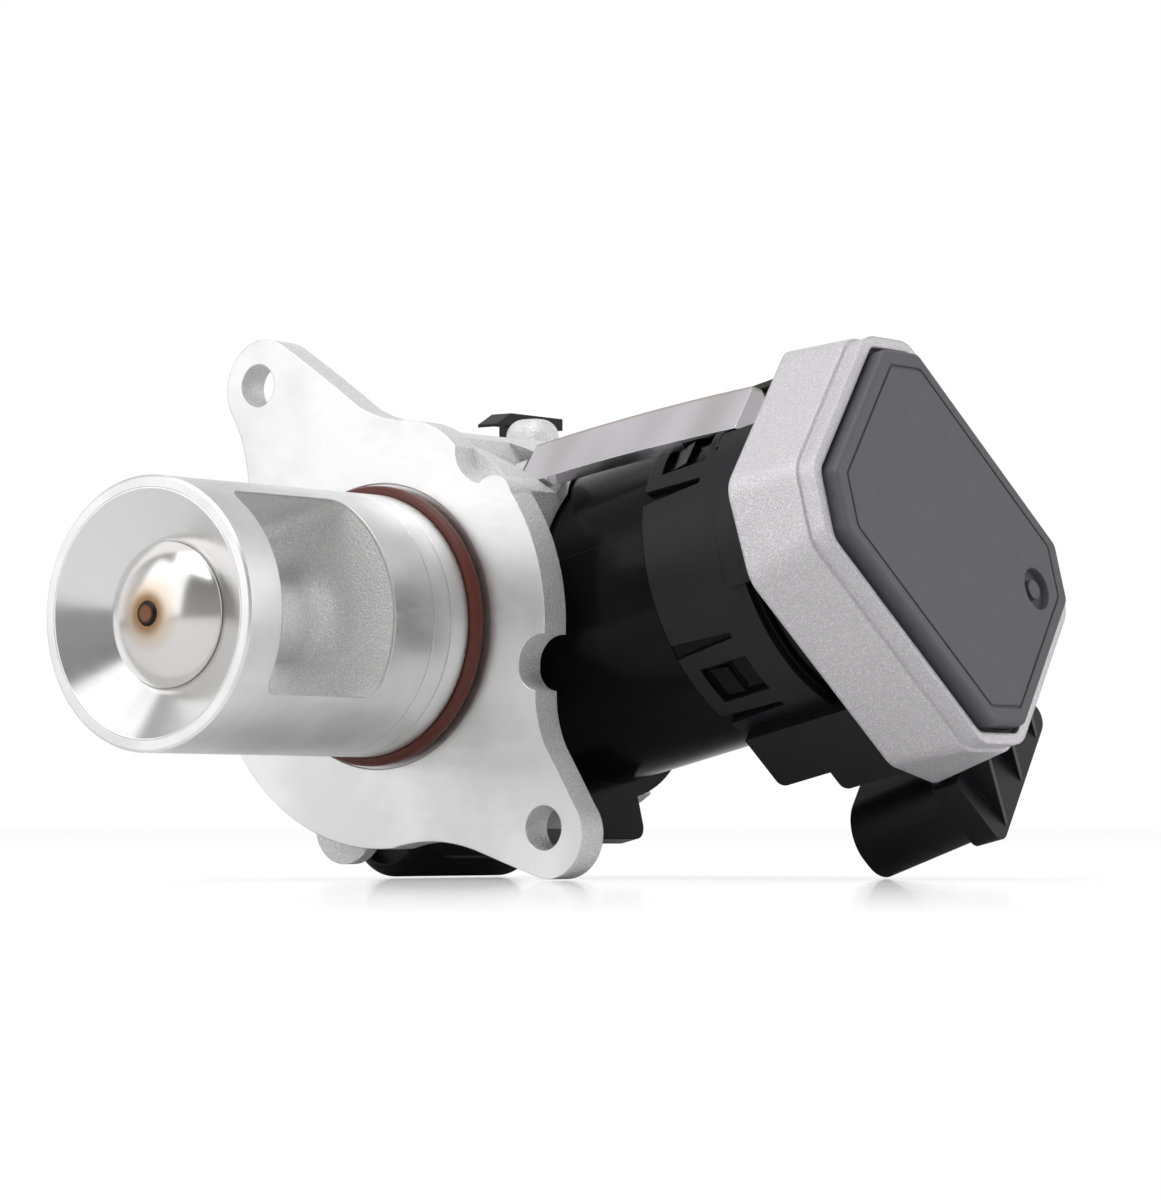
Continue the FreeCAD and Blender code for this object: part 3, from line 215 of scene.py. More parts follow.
# %% [markdown]
# A Look is the web of one finish, round a single principled shader. It reads the
# place on the piece in millimetres, so that a grain has a real size. A painted
# picture would need each piece unfolded. A pattern read from the place needs nothing
# and runs on without a seam from one face to the next.

# %% Looks


class Look(Web):
    def __init__(self, name, colour, roughness, metallic=0.0):
        self.material = bpy.data.materials.new(name)
        self.material.use_nodes = True
        super().__init__(self.material.node_tree)
        self.shader = self.tree.nodes["Principled BSDF"]
        self.set("Base Color", (*colour, 1.0))
        self.set("Roughness", roughness)
        self.set("Metallic", metallic)
        where = self.add("ShaderNodeTexCoord", {}, outlet="Object")
        self.place = self.add("ShaderNodeVectorMath", {"operation": "SCALE"}, where, Scale=1000.0)
        self.x, self.y, self.z = self.split(self.place)
        self.normal = self.add("ShaderNodeNewGeometry", {}, outlet="Normal")

    def set(self, name, value):
        self.feed(self.shader.inputs[name], value)

    def dim(self, level):
        """How strongly a surface that isn't metal mirrors what is before it."""
        self.shader.inputs["Specular IOR Level"].default_value = level

    def noise(self, scale, detail=2.0, place=None, rough=0.5):
        return self.add("ShaderNodeTexNoise", {}, Vector=place or self.place, Scale=scale,
                        Detail=detail, Roughness=rough)

    def cells(self, scale):
        return self.add("ShaderNodeTexVoronoi", {}, Vector=self.place, Scale=scale)

    def radius(self):
        """How far the place is from the valve's axis."""
        return (self.y * self.y + self.z * self.z) ** 0.5

    def along(self, direction):
        """How far the place is along a direction from the motor's foot."""
        from_foot = self.add("ShaderNodeVectorMath", {"operation": "SUBTRACT"}, self.place, tuple(MOTOR_FOOT))
        return self.dot(from_foot, direction)

    def rounded(self, millimetres):
        """A normal that turns softly over the edges, like a small broken edge."""
        return self.add("ShaderNodeBevel", {"samples": 6}, Radius=millimetres / 1000.0)


print("looks ready:", [name for name in vars(Look) if not name.startswith("_")])

# %% [markdown]
# The housing is one sand casting of aluminium: nose, flange and drum. Sand leaves a
# cast face full of tiny facets that glitter, while the cutter leaves the nose and the
# flange face almost white. Two materials could meet at a painted border, but then the
# border has to be drawn. Here one material tells cast from cut by where the surface
# is and which way it looks, so the border follows the machining by itself.

# %% Housing: cast and machined aluminium
NOSE_SKIN = (24.3, 25.4)
FLANGE_FACE = (-0.3, 0.45)
MOUTH_FACE = -64.2
CAST_DARK, CAST_LIGHT = (0.66, 0.645, 0.65), (0.94, 0.92, 0.93)
CUT_BRIGHT, CUT_HAZY = (0.88, 0.865, 0.88), (0.76, 0.745, 0.76)
FACETS_DEEP, RINGS_DEEP = 0.20, 0.006


def machined(look, radius):
    """1 on the turned nose, on the flange's face and round the mouth, and 0 on cast skin."""
    facing = look.split(look.normal)[0]
    nose = (radius > NOSE_SKIN[0]) * (look.x < 0.3) * (radius < NOSE_SKIN[1])
    face = (look.x < FLANGE_FACE[1]) * (look.x > FLANGE_FACE[0]) * (facing < -0.9)
    return nose, face, nose.math("MAXIMUM", face).math("MAXIMUM", look.x < MOUTH_FACE)


def cast_aluminium():
    look = Look("cast aluminium", CAST_DARK, 0.4, 1.0)
    radius = look.radius()
    nose, face, cut = machined(look, radius)
    sand = look.noise(1.9, 4.0, rough=0.7)
    glint = look.cells(2.6)
    blotch = look.noise(0.12, 2.0)
    turning = look.noise(1.0, 3.0, place=look.join(look.x * 6.0, radius * 0.4, 0.0))
    haze = look.noise(0.045, 3.0)
    scuff = look.noise(0.9, 4.0, place=look.join(look.x * 0.4, look.y * 0.25, look.z * 1.3))
    cast_colour = look.mix(glint, CAST_DARK, CAST_LIGHT)
    cut_colour = look.mix(haze.step(0.35, 0.65), CUT_BRIGHT, CUT_HAZY)
    look.set("Base Color", look.mix(cut, cast_colour, cut_colour))
    cut_finish = look.mix(scuff.step(0.25, 0.8), 0.36, 0.44)
    look.set("Roughness", look.mix(cut, look.mix(blotch, 0.42, 0.60), cut_finish))
    look.set("Metallic", look.mix(cut, 0.66, 1.0))
    rings = look.noise(1.0, 2.0, place=look.join(radius * 9.0, 0.0, 0.0))
    facets = look.bump((sand + glint * 0.5) * (1.0 - cut), FACETS_DEEP, look.rounded(0.3))
    look.set("Normal", look.bump(turning * nose + rings * face * 1.6, RINGS_DEEP, facets))
    return look.material


dress("cast_aluminium", cast_aluminium())

# %% [markdown]
# The head's frame is a die casting that was blasted with fine grit. The grit rounds
# the edges and leaves a dull, sparkling grey. It could share the housing's material,
# but a finer grain and a wider soft edge are what tell the two castings apart.

# %% Head frame: blasted aluminium
BLASTED_DARK, BLASTED_LIGHT = (0.52, 0.51, 0.52), (0.80, 0.785, 0.80)


def blasted_aluminium():
    look = Look("blasted aluminium", BLASTED_DARK, 0.42, 0.75)
    grain = look.noise(2.2, 4.0, rough=0.75)
    glint = look.cells(2.8)
    look.set("Base Color", look.mix(glint, BLASTED_DARK, BLASTED_LIGHT))
    look.set("Roughness", look.mix(look.noise(0.2, 2.0), 0.42, 0.56))
    look.set("Normal", look.bump(grain + glint * 0.4, 0.15, look.rounded(0.9)))
    return look.material


dress("frame_aluminium", blasted_aluminium())

# %% [markdown]
# The seat ring is turned from steel and pressed into the nose. The cutter's fine
# rings spread the light into streaks that run out from the middle. A ring pattern
# read from the distance to the axis gives the same streaks without any picture.

# %% Seat ring


def turned_steel(name, colour, roughness, ring_depth):
    look = Look(name, colour, roughness, 1.0)
    rings = look.noise(1.0, 2.0, place=look.join(look.radius() * 14.0, 0.0, 0.0))
    look.set("Roughness", look.mix(look.noise(0.35, 3.0), roughness * 0.8, roughness * 1.4))
    look.set("Normal", look.bump(rings, ring_depth, look.rounded(0.25)))
    return look


dress("seat_steel", turned_steel("seat steel", (0.74, 0.74, 0.74), 0.16, 0.004).material)

# %% [markdown]
# The poppet closes the seat with its cone. Its crown is polished, and the hot gas has
# tinted it brown round the riveted end of the stem. The tint fades with the distance
# from the axis, so two soft steps of the radius carry it.

# %% Poppet and stem
BROWN, STRAW, BARE_STEEL = (0.30, 0.18, 0.10), (0.64, 0.55, 0.45), (0.74, 0.72, 0.71)
RIVET_RIM, RIVET_MIDDLE = (0.20, 0.10, 0.06), (0.03, 0.025, 0.02)
RIVET_FROM = -60.0


def poppet_steel():
    look = turned_steel("poppet steel", BARE_STEEL, 0.09, 0.003)
    radius = look.radius()
    heat = look.mix(radius.step(2.6, 5.0), BROWN, STRAW)
    look.set("Base Color", look.mix(radius.step(4.2, 8.0), heat, BARE_STEEL))
    look.set("Roughness", look.mix(radius.step(2.6, 6.5), 0.36, 0.20))
    return look.material


def stem_steel():
    look = Look("stem steel", RIVET_RIM, 0.25, 1.0)
    tip = look.x < RIVET_FROM
    burnt = look.mix(look.radius().step(1.0, 1.9), RIVET_RIM, RIVET_MIDDLE)
    look.set("Base Color", look.mix(tip, (0.55, 0.54, 0.52), burnt))
    look.set("Roughness", look.mix(tip, 0.2, 0.45))
    look.set("Normal", look.bump(look.noise(1.4, 3.0), 0.1, look.rounded(0.3)))
    return look.material


dress("poppet_steel", poppet_steel())
dress("stem_steel", stem_steel())

# %% [markdown]
# Behind the flange, out of sight, the stem runs in a bronze bush. A coil spring pulls
# it shut, and its slotted yoke rides on the crank's roller. The planetary gear between
# crank and motor shaft has hobbed steel wheels in a moulded ring. Each could have a
# material of its own, but they differ in colour and polish and hardly in pattern, so
# one helper with a fine grain serves all.

# %% Plain metals of the drive


def plain_metal(name, colour, roughness, grain=0.02):
    look = Look(name, colour, roughness, 1.0)
    look.set("Roughness", look.mix(look.noise(0.5, 3.0), roughness * 0.8, min(1.0, roughness * 1.3)))
    look.set("Normal", look.bump(look.noise(3.0, 2.0), grain, look.rounded(0.2)))
    return look.material


BEARING_STEEL = plain_metal("bearing steel", (0.58, 0.58, 0.58), 0.2)
SPRING_STEEL = plain_metal("spring steel", (0.42, 0.42, 0.44), 0.25)
dress("bearing_steel", BEARING_STEEL)
dress("spring_steel", SPRING_STEEL)
dress("bush_bronze", plain_metal("bush bronze", (0.55, 0.38, 0.18), 0.3))
dress("gear_steel", plain_metal("gear steel", (0.52, 0.52, 0.50), 0.28))

# %% [markdown]
# The motor is brushless: a stack of sheet steel with nine poles holds the windings,
# and a magnet turns inside them on the shaft. Two turned plates carry the bearings.
# One grey for all would make a cut-away view hard to read. So the stack is dull and
# dark, the magnet darker still, the windings copper and the contacts plated.

# %% Plain metals of the motor
COPPER = plain_metal("copper winding", (0.62, 0.26, 0.10), 0.25)
dress("lamination_steel", plain_metal("lamination steel", (0.22, 0.22, 0.23), 0.45))
dress("magnet_grey", plain_metal("magnet", (0.14, 0.14, 0.15), 0.4))
dress("copper_winding", COPPER)
dress("plate_aluminium", plain_metal("plate aluminium", (0.70, 0.70, 0.70), 0.3))
dress("pin_brass", plain_metal("pin brass", (0.75, 0.60, 0.30), 0.25))

# %% [markdown]
# Bright spring-steel straps hold the head on the housing. They are rolled sheet, so long fine
# streaks run with the strap, and the sheared edge is duller and warmer. Slow darker and
# lighter bands along the strap's length are painted light and shade in its colour. Scratches
# could be drawn one by one, but noise that is stretched along the motor's axis gives streaks
# of any fineness at once.

# %% Straps
# the painted shade and painted light ends of the bands along the strap
SHEET_PAINTED_SHADE, SHEET_PAINTED_LIGHT = (0.70, 0.67, 0.68), (0.95, 0.93, 0.97)
SHEARED_EDGE = (0.66, 0.58, 0.52)


def strap_steel():
    look = Look("strap steel", SHEET_PAINTED_LIGHT, 0.14, 1.0)
    across, length = look.along(HEAD_U), look.along(MOTOR_AXIS) * 0.06
    streak = look.noise(1.0, 3.0, place=look.join(across * 3.0, length, 0.0))
    # painted light and shade: slow noise along the strap paints darker and lighter bands into its colour
    painted_bands = look.noise(1.0, 1.0, place=look.join(across * 0.015, length, 0.0))
    sheet = look.mix(painted_bands.step(0.3, 0.7), SHEET_PAINTED_SHADE, SHEET_PAINTED_LIGHT)
    look.set("Base Color", look.mix(across.step(11.2, 12.0), sheet, SHEARED_EDGE))
    look.set("Roughness", look.mix(streak, 0.12, 0.20))
    look.set("Normal", look.rounded(0.15))
    return look.material


dress("strap_steel", strap_steel())

# %% [markdown]
# The motor's barrel comes glossy out of a polished mould. The collar with its snap
# tabs, the connector and the end cap have the duller skin of a glass-filled moulding,
# and the cover is duller still. One helper makes them all, because they differ only
# in colour, in gloss and in the depth of a very fine grain.

# %% Plastic pieces


def moulding(name, colour, roughness, grain_scale, grain_depth, edge=0.3, mirror=0.5):
    look = Look(name, colour, roughness)
    look.dim(mirror)
    look.set("Roughness", look.mix(look.noise(0.3, 3.0), roughness * 0.85, min(1.0, roughness * 1.2)))
    look.set("Normal", look.bump(look.noise(grain_scale, 3.0), grain_depth, look.rounded(edge)))
    return look.material


dress("gloss_black", moulding("gloss black", (0.005, 0.005, 0.0055), 0.18, 0.5, 0.015, 0.4, 0.10))
dress("satin_black", moulding("satin black", (0.010, 0.010, 0.0115), 0.38, 2.5, 0.02, 0.3, 0.24))
dress("cover_charcoal", moulding("cover charcoal", (0.096, 0.094, 0.106), 0.52, 3.0, 0.03, 0.4, 0.4))
dress("gear_polymer", moulding("gear polymer", (0.72, 0.70, 0.60), 0.5, 2.0, 0.02))
dress("board_green", moulding("board green", (0.02, 0.12, 0.05), 0.4, 3.0, 0.01))
dress("board_parts_black", moulding("board parts", (0.02, 0.02, 0.02), 0.5, 3.0, 0.02))

# %% [markdown]
# Rubber seals keep gas and water out: a brown ring in the nose's groove seals the
# flange, a lip ring seals the stem, and cords lie under the cover and the end cap.
# They could all be one black rubber, but the brown ring is in sight and smoother than
# the rest, so it has a look of its own.

# %% Rubber pieces


def o_ring():
    look = Look("ring rubber", (0.100, 0.026, 0.018), 0.36)
    look.dim(0.28)
    look.set("Normal", look.bump(look.noise(1.5, 3.0), 0.03))
    return look.material


dress("seal_rubber", moulding("seal rubber", (0.02, 0.02, 0.02), 0.6, 2.0, 0.04))
dress("o_ring_rubber", o_ring())

# %% [markdown]
# The windings and the ball bearings repeat one small shape many times, and the return
# spring follows a curve. The solids show them as plain blocks, rings and a tube.
# Copying by hand would work, but a geometry tree states the rule once: how many, how
# far apart, how turned. Flow is a short way to write such a tree, a call for a node.

# %% A small language for geometry trees


class Flow:
    def __init__(self, name, **sizes):
        self.tree = bpy.data.node_groups.new(name, "GeometryNodeTree")
        self.tree.interface.new_socket(name="Geometry", in_out="INPUT", socket_type="NodeSocketGeometry")
        for label, value in sizes.items():
            kind = "NodeSocketInt" if isinstance(value, int) else "NodeSocketFloat"
            socket = self.tree.interface.new_socket(name=label, in_out="INPUT", socket_type=kind)
            socket.default_value = value
        self.tree.interface.new_socket(name="Geometry", in_out="OUTPUT", socket_type="NodeSocketGeometry")
        self.given = self.tree.nodes.new("NodeGroupInput").outputs

    def add(self, kind, settings, *values, **named):
        node = self.tree.nodes.new(kind)
        for key, value in settings.items():
            setattr(node, key, value)
        for key, value in [*enumerate(values), *named.items()]:
            socket = node.inputs[key if isinstance(key, int) else key.replace("_", " ")]
            if isinstance(value, bpy.types.NodeSocket):
                self.tree.links.new(value, socket)
            else:
                socket.default_value = value
        return node.outputs[0]

    def around(self, thing, count):
        """Copies of a shape, turned evenly about the z axis."""
        step = self.add("ShaderNodeMath", {"operation": "DIVIDE"}, 2.0 * math.pi, count)
        index = self.add("GeometryNodeInputIndex", {})
        angle = self.add("ShaderNodeMath", {"operation": "MULTIPLY"}, index, step)
        rotation = self.add("ShaderNodeCombineXYZ", {}, Z=angle)
        spots = self.add("GeometryNodeMeshLine", {}, Count=count, Offset=(0.0, 0.0, 0.0))
        return self.add("GeometryNodeInstanceOnPoints", {}, Points=spots, Instance=thing, Rotation=rotation)

    def finish(self, thing, material):
        """Makes real copies, gives them their material and hands them out."""
        real = self.add("GeometryNodeRealizeInstances", {}, Geometry=thing)
        dressed = self.add("GeometryNodeSetMaterial", {}, Geometry=real, Material=material)
        self.tree.links.new(dressed, self.tree.nodes.new("NodeGroupOutput").inputs[0])
        return self.tree


def grow(name, tree, mesh, **sizes):
    """Runs a tree on a mesh and returns an object with the result as its plain mesh."""
    thing = bpy.data.objects.new(name, mesh)
    bpy.context.scene.collection.objects.link(thing)
    modifier = thing.modifiers.new(tree.name, "NODES")
    modifier.node_group = tree
    for item in tree.interface.items_tree:
        if item.in_out == "INPUT" and item.name in sizes:
            modifier[item.identifier] = sizes[item.name]
    shown = thing.evaluated_get(bpy.context.evaluated_depsgraph_get())
    made = bpy.data.meshes.new_from_object(shown)
    thing.modifiers.clear()
    thing.data = made
    return thing


def into_motor(thing):
    """Moves a mesh in the motor's millimetres to its place in the row frame."""
    turn = Matrix((ACROSS, MOTOR_UP, MOTOR_AXIS)).transposed().to_4x4()
    thing.data.transform(Matrix.Translation(MOTOR_FOOT / 1000.0) @ turn @ Matrix.Scale(0.001, 4))
    thing.data.update()


print("geometry language ready")

# %% [markdown]
# Enamelled wire is wound on each of the nine poles in two layers. One long helix a
# pole would be true to the wire, but closed turns side by side look the same and stay
# light. One turn is a rectangle with round corners. The tree gives the path its
# thickness, stacks six turns along the pole, and sets that stack on all nine poles.

# %% Windings
WIRE = 0.92
WIRE_SPACING = 1.06
WIRE_PLAY = 0.03
POLE_HALF = 2.5
STACK_FROM, STACK_TO = 43.0, 65.0
FIRST_TURN = 16.98
TURNS = 6
POLES = 9


def turn_path(layer, corner_points=4):
    """One closed turn round the pole, as points in the plane across the pole."""
    out = WIRE * (layer + 0.5) + WIRE_PLAY
    across, low, high = POLE_HALF + out, STACK_FROM - out, STACK_TO + out
    bend = 0.9 + 0.5 * layer
    points = []
    corners = ((across - bend, high - bend, 0.0), (bend - across, high - bend, 90.0),
               (bend - across, low + bend, 180.0), (across - bend, low + bend, 270.0))
    for y, z, start in corners:
        for number in range(corner_points):
            angle = math.radians(start + 90.0 * number / (corner_points - 1))
            points.append((0.0, y + bend * math.cos(angle), z + bend * math.sin(angle)))
    return points


def wire_paths():
    verts, edges = [], []
    for layer in (0, 1):
        points = turn_path(layer)
        first = len(verts)
        verts.extend(points)
        edges.extend((first + i, first + (i + 1) % len(points)) for i in range(len(points)))
    mesh = bpy.data.meshes.new("one turn of each layer")
    mesh.from_pydata(verts, edges, [])
    return mesh


def winding_tree():
    flow = Flow("windings", **{"Wire Radius": WIRE / 2, "Turns": TURNS, "Poles": POLES,
                               "First Turn": FIRST_TURN})
    path = flow.add("GeometryNodeMeshToCurve", {}, Mesh=flow.given["Geometry"])
    ring = flow.add("GeometryNodeCurvePrimitiveCircle", {}, Resolution=8, Radius=flow.given["Wire Radius"])
    turn = flow.add("GeometryNodeCurveToMesh", {}, Curve=path, Profile_Curve=ring)
    start = flow.add("ShaderNodeCombineXYZ", {}, X=flow.given["First Turn"])
    pitch = flow.add("ShaderNodeMath", {"operation": "MULTIPLY"}, flow.given["Wire Radius"],
                     2.0 * WIRE_SPACING)
    shift = flow.add("ShaderNodeCombineXYZ", {}, X=pitch)
    spots = flow.add("GeometryNodeMeshLine", {}, Count=flow.given["Turns"], Start_Location=start,
                     Offset=shift)
    stack = flow.add("GeometryNodeInstanceOnPoints", {}, Points=spots, Instance=turn)
    return flow.finish(flow.around(stack, flow.given["Poles"]), COPPER)


windings = grow("wire_windings", winding_tree(), wire_paths(), **{"Turns": TURNS, "Poles": POLES})
into_motor(windings)
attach(windings, "housing")
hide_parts("stator_coils")
print("windings:", TURNS * 2 * POLES, "turns of wire,", len(windings.data.polygons), "faces")

# %% [markdown]
# A ball bearing is two grooved rings with balls between them. The grooves could be cut
# with a boolean, but the rings are turned pieces, so a profile swept round the axis
# makes them cleanly, and the tree adds the balls. Both bearings of the motor are the
# same size and differ only in their place.

# %% Ball bearings
BALL_R = 1.42
PITCH_R = 5.5
BALLS = 8
RACE_HALF = 2.5
INNER_RING, OUTER_RING = (3.06, 4.4), (6.6, 7.98)
BEARING_PLACES = {"drive_end_bearing": 34.6, "head_end_bearing": 71.5}


def groove(side, shoulder):
    """The round groove of a race: side is -1 for the inner ring and 1 for the outer."""
    reach = math.sqrt(BALL_R ** 2 - (PITCH_R - shoulder) ** 2)
    heights = [reach * (2.0 * k / 6.0 - 1.0) for k in range(7)]
    return [(PITCH_R + side * math.sqrt(BALL_R ** 2 - z ** 2), z) for z in heights]


def ring_profiles():
    half, (bore, shoulder), (rim, skin) = RACE_HALF, INNER_RING, OUTER_RING
    inner = [(bore, -half), (shoulder, -half), *groove(-1.0, shoulder), (shoulder, half), (bore, half)]
    outer = [(rim, -half), (skin, -half), (skin, half), (rim, half), *reversed(groove(1.0, rim))]
    return inner, outer


def swept(profiles, centre, steps=48):
    """A mesh of closed profiles turned all the way round the z axis."""
    verts, faces = [], []
    for profile in profiles:
        first, count = len(verts), len(profile)
        for step in range(steps):
            angle = 2.0 * math.pi * step / steps
            verts.extend((r * math.cos(angle), r * math.sin(angle), z + centre) for r, z in profile)
        for step in range(steps):
            here, there = first + step * count, first + (step + 1) % steps * count
            for k in range(count):
                after = (k + 1) % count
                faces.append((here + k, there + k, there + after, here + after))
    mesh = bpy.data.meshes.new("races")
    mesh.from_pydata(verts, [], faces)
    return mesh


def bearing_tree():
    flow = Flow("ball bearing", **{"Balls": BALLS, "Ball Radius": BALL_R, "Pitch Radius": PITCH_R,
                                   "Centre": 0.0})
    ball = flow.add("GeometryNodeMeshIcoSphere", {}, Radius=flow.given["Ball Radius"], Subdivisions=3)
    spot = flow.add("ShaderNodeCombineXYZ", {}, X=flow.given["Pitch Radius"], Z=flow.given["Centre"])
    placed = flow.add("GeometryNodeTransform", {}, Geometry=ball, Translation=spot)
    row = flow.around(placed, flow.given["Balls"])
    both = flow.tree.nodes.new("GeometryNodeJoinGeometry")
    flow.tree.links.new(row, both.inputs[0])
    flow.tree.links.new(flow.given["Geometry"], both.inputs[0])
    return flow.finish(both.outputs[0], BEARING_STEEL)


BEARING_TREE = bearing_tree()
for node_name, start in BEARING_PLACES.items():
    centre = start + RACE_HALF
    bearing = grow("ball_" + node_name, BEARING_TREE, swept(ring_profiles(), centre),
                   **{"Balls": BALLS, "Centre": centre})
    into_motor(bearing)
    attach(bearing, "housing")
    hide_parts(node_name)
    print(node_name, "has", BALLS, "balls and", len(bearing.data.polygons), "faces")

# %% [markdown]
# The return spring is round wire wound on a helix. A circle swept with a screw would
# do, but the tree draws the helix itself, so its length is one number. The foot stands
# on the housing and the other end reaches the stem's collar.

# %% Return spring
SPRING_TURNS = 4.5
SPRING_WIRE = 2.0
SPRING_PLAY = 0.02


def spring_tree():
    flow = Flow("coil spring", **{"Wire Radius": SPRING_WIRE / 2, "Coil Radius": 7.6, "Length": 15.0,
                                  "Coil Turns": SPRING_TURNS})
    helix = flow.add("GeometryNodeCurveSpiral", {}, Resolution=32, Rotations=flow.given["Coil Turns"],
                     Start_Radius=flow.given["Coil Radius"], End_Radius=flow.given["Coil Radius"],
                     Height=flow.given["Length"])
    ring = flow.add("GeometryNodeCurvePrimitiveCircle", {}, Resolution=12, Radius=flow.given["Wire Radius"])
    wire = flow.add("GeometryNodeCurveToMesh", {}, Curve=helix, Profile_Curve=ring, Fill_Caps=True)
    return flow.finish(wire, SPRING_STEEL)


SPRING_LOW, SPRING_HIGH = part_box("return_spring")
SPRING_ROOM = 1000.0 * (SPRING_HIGH[0] - SPRING_LOW[0])
COIL_RADIUS = 500.0 * (SPRING_HIGH[1] - SPRING_LOW[1]) - SPRING_WIRE / 2 - SPRING_PLAY
spring = grow("coil_return_spring", spring_tree(), bpy.data.meshes.new("return spring"),
              **{"Length": SPRING_ROOM - SPRING_WIRE - 2.0 * SPRING_PLAY, "Coil Radius": COIL_RADIUS})
foot = Vector((SPRING_LOW[0] + 0.001 * (SPRING_WIRE / 2 + SPRING_PLAY), 0.0, 0.0))
lying = Matrix.Rotation(math.radians(90.0), 4, "Y")
spring.data.transform(Matrix.Translation(foot) @ lying @ Matrix.Scale(0.001, 4))
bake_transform(spring)
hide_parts("return_spring")
print("return spring:", SPRING_TURNS, "turns,", len(spring.data.polygons), "faces")

# %% [markdown]
# The picture was taken from low down, a little above the table and nearly level. The
# floor and the studio are brightest where the camera looks, so its place and its
# direction are set before them.

# %% Where the camera stands
CAMERA_AT = Vector((-0.6589, -0.5503, -0.0387))
CAMERA_YAW = math.radians(52.71)
CAMERA_PITCH = math.radians(2.92)
VIEW = Vector((math.sin(CAMERA_YAW) * math.cos(CAMERA_PITCH), math.cos(CAMERA_YAW) * math.cos(CAMERA_PITCH),
               math.sin(CAMERA_PITCH)))
print("camera looks along", [round(c, 3) for c in VIEW])

# %% [markdown]
# The part lies on a pale floor that fades into a white background. A bright lamp could
# wash the floor out, but it would wash out the metal too. So only what the camera sees
# of the floor is bright, and it lights the part no more than paper would. A little of
# the paper and of a soft sheen stays in sight near the part, and keeps its shadow and
# its faint mirror image. The sheen shows only along the floor, and a view from higher
# up loses it, as it does on a varnished sheet.

# %% Floor
FLOOR_Z = -0.0481
FLOOR_REACH = 60.0
WHITE, PAPER = (1.0, 1.0, 1.0, 1.0), (0.8, 0.8, 0.8, 1.0)
UNDER_PART = (0.02, -0.05, FLOOR_Z)
SHADE_FROM, SHADE_TO = 0.05, 0.11
SHADE_SHARE = 0.14
SHEEN_FROM, SHEEN_TO = CAMERA_AT.dot(VIEW) + 0.50, CAMERA_AT.dot(VIEW) + 0.82
SHEEN_SHARE = 0.66
SHEEN_FALL = 12.0
RIPPLE_DEPTH = 0.4


def floor_material():
    """White to the camera, with a soft shadow and a sheen that fade away from the part."""
    material = bpy.data.materials.new("pale floor")
    material.use_nodes = True
    material.node_tree.nodes.clear()
    web = Web(material.node_tree)
    place = web.add("ShaderNodeTexCoord", {}, outlet="Object")
    apart = web.add("ShaderNodeVectorMath", {"operation": "DISTANCE"}, place, UNDER_PART, outlet="Value")
    shade = apart.step(SHADE_TO, SHADE_FROM) * SHADE_SHARE
    grazing = web.add("ShaderNodeLayerWeight", {}, 0.5, outlet="Facing") ** SHEEN_FALL
    sheen_share = web.dot(place, VIEW).ramp(SHEEN_FROM, SHEEN_TO, 0.0, SHEEN_SHARE) * grazing
    ripple = web.add("ShaderNodeTexNoise", {}, Vector=place, Scale=260.0, Detail=3.0)
    sheen = web.add("ShaderNodeBsdfGlossy", {}, Color=WHITE, Roughness=0.03,
                    Normal=web.bump(ripple, RIPPLE_DEPTH, strength=0.30))
    paper = web.add("ShaderNodeBsdfDiffuse", {}, Color=PAPER)
    bright = web.add("ShaderNodeEmission", {}, Color=WHITE, Strength=1.0)
    seen = web.add("ShaderNodeMixShader", {}, sheen_share, bright, sheen)
    shaded = web.add("ShaderNodeMixShader", {}, shade, seen, paper)
    to_camera = web.add("ShaderNodeLightPath", {}, outlet="Is Camera Ray")
    web.end("ShaderNodeOutputMaterial", web.add("ShaderNodeMixShader", {}, to_camera, paper, shaded))
    return material


floor_mesh = bpy.data.meshes.new("floor")
signs = ((-1.0, -1.0), (1.0, -1.0), (1.0, 1.0), (-1.0, 1.0))
floor_mesh.from_pydata([(FLOOR_REACH * x, FLOOR_REACH * y, FLOOR_Z) for x, y in signs], [], [(0, 1, 2, 3)])
floor = bpy.data.objects.new("floor", floor_mesh)
floor.data.materials.append(floor_material())
bpy.context.scene.collection.objects.link(floor)
print("floor at", FLOOR_Z, "m")

# %% [markdown]
# Bare metal is dark or bright by what stands round it. A plain white world would make
# it flat. So the camera sees white, the part is lit by an even grey, and what the metal
# mirrors is white low behind the part and a dimmer room on the camera's side.

# %% Background
ROOM_LIGHT = (0.42, 0.42, 0.42, 1.0)


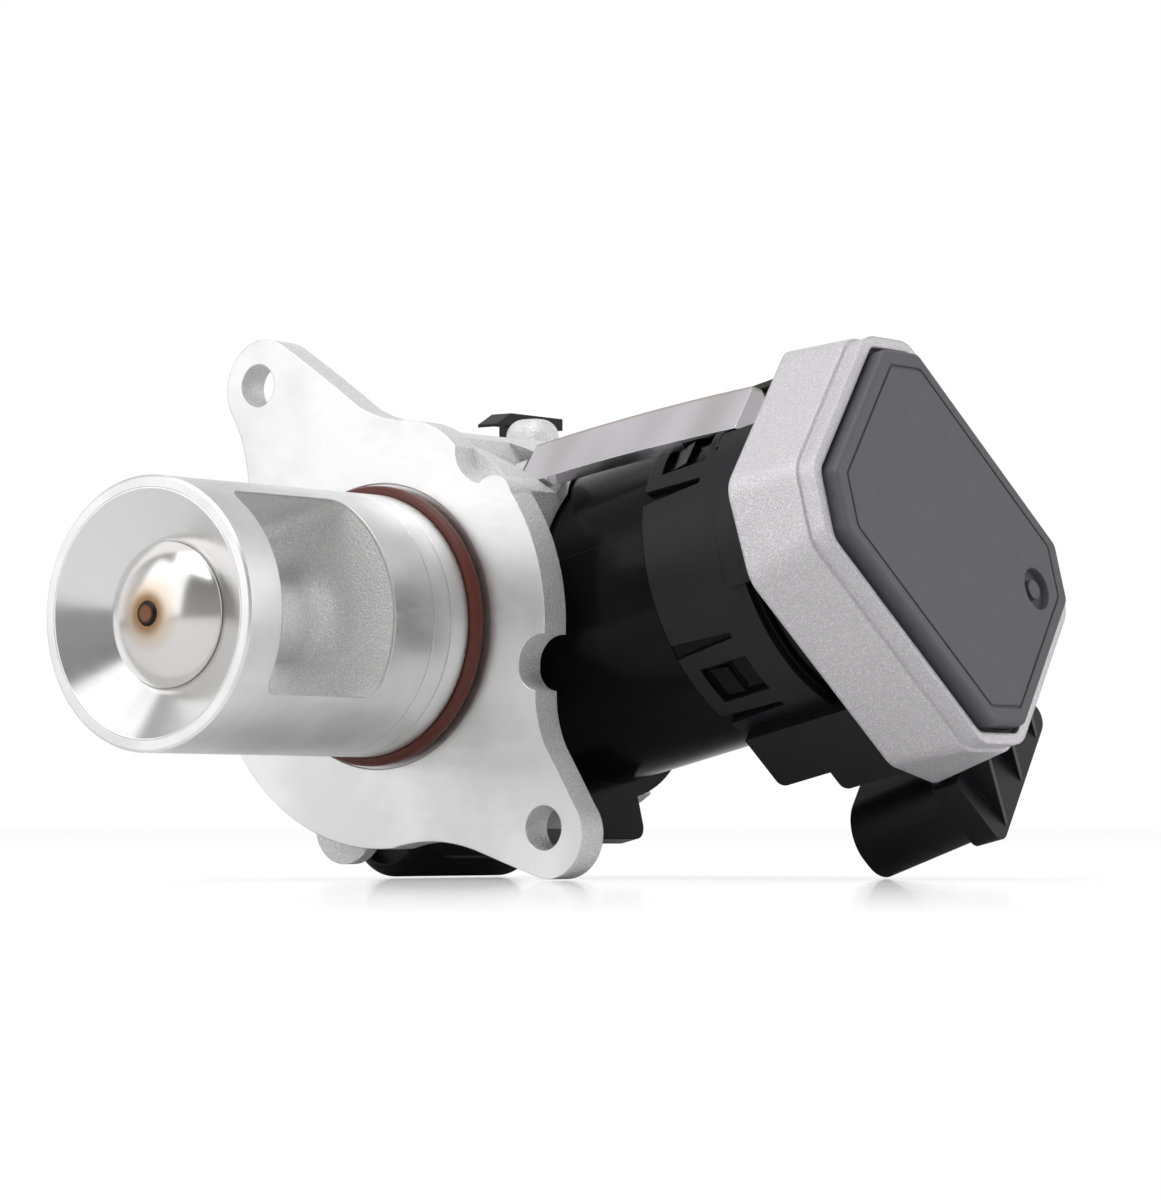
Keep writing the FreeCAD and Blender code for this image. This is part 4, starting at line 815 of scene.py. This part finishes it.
def background():
    world = bpy.data.worlds.new("studio")
    world.use_nodes = True
    world.node_tree.nodes.clear()
    bpy.context.scene.world = world
    web = Web(world.node_tree)
    place = web.add("ShaderNodeTexCoord", {}, outlet="Generated")
    behind = web.dot(place, VIEW).ramp(-0.40, 0.50, 0.34, 1.0)
    low = web.split(place)[2].ramp(0.25, 0.65, 1.0, 0.62)
    mirrored = web.add("ShaderNodeBackground", {}, behind * low)
    lit = web.add("ShaderNodeBackground", {}, ROOM_LIGHT)
    bright = web.add("ShaderNodeBackground", {}, WHITE)
    in_metal = web.add("ShaderNodeLightPath", {}, outlet="Is Glossy Ray")
    to_camera = web.add("ShaderNodeLightPath", {}, outlet="Is Camera Ray")
    room = web.add("ShaderNodeMixShader", {}, in_metal, lit, mirrored)
    web.end("ShaderNodeOutputWorld", web.add("ShaderNodeMixShader", {}, to_camera, room, bright))
    return world


print("background:", background().name)

# %% [markdown]
# A long lens keeps the nose from looking larger than it is. Three soft lights shape
# the metal: one above, one from the nose's side, one beside the head. Small lamps would
# show as hard dots in the polished poppet, so each light is a wide box.

# %% Camera and lights
LENS = 135.0
SENSOR = 36.0
MIDDLE = (0.01, -0.04, 0.0)


def add_camera():
    data = bpy.data.cameras.new("camera")
    data.sensor_fit = "VERTICAL"
    data.sensor_height = SENSOR
    data.lens = LENS
    data.clip_start = 0.05
    data.clip_end = 200.0
    camera = bpy.data.objects.new("camera", data)
    right = VIEW.cross(Vector((0.0, 0.0, 1.0))).normalized()
    up = right.cross(VIEW)
    turn = Matrix((right, up, -VIEW)).transposed().to_4x4()
    camera.matrix_world = Matrix.Translation(CAMERA_AT) @ turn
    bpy.context.scene.collection.objects.link(camera)
    bpy.context.scene.camera = camera


def add_softbox(name, place, target, width, height, power):
    data = bpy.data.lights.new(name, "AREA")
    data.shape = "RECTANGLE"
    data.size = width
    data.size_y = height
    data.energy = power
    light = bpy.data.objects.new(name, data)
    turn = (Vector(target) - Vector(place)).to_track_quat("-Z", "Y").to_matrix().to_4x4()
    light.matrix_world = Matrix.Translation(Vector(place)) @ turn
    bpy.context.scene.collection.objects.link(light)


add_camera()
add_softbox("above", (-0.30, -0.10, 0.85), MIDDLE, 0.8, 0.8, 5.4)
add_softbox("nose side", (-0.82, 0.36, 0.42), MIDDLE, 0.9, 0.9, 2.9)
add_softbox("head side", (0.45, -0.95, 0.30), MIDDLE, 0.5, 0.7, 2.4)
bpy.context.scene.view_settings.view_transform = "Standard"
print("camera and", len(bpy.data.lights), "lights placed")

# %% [markdown]
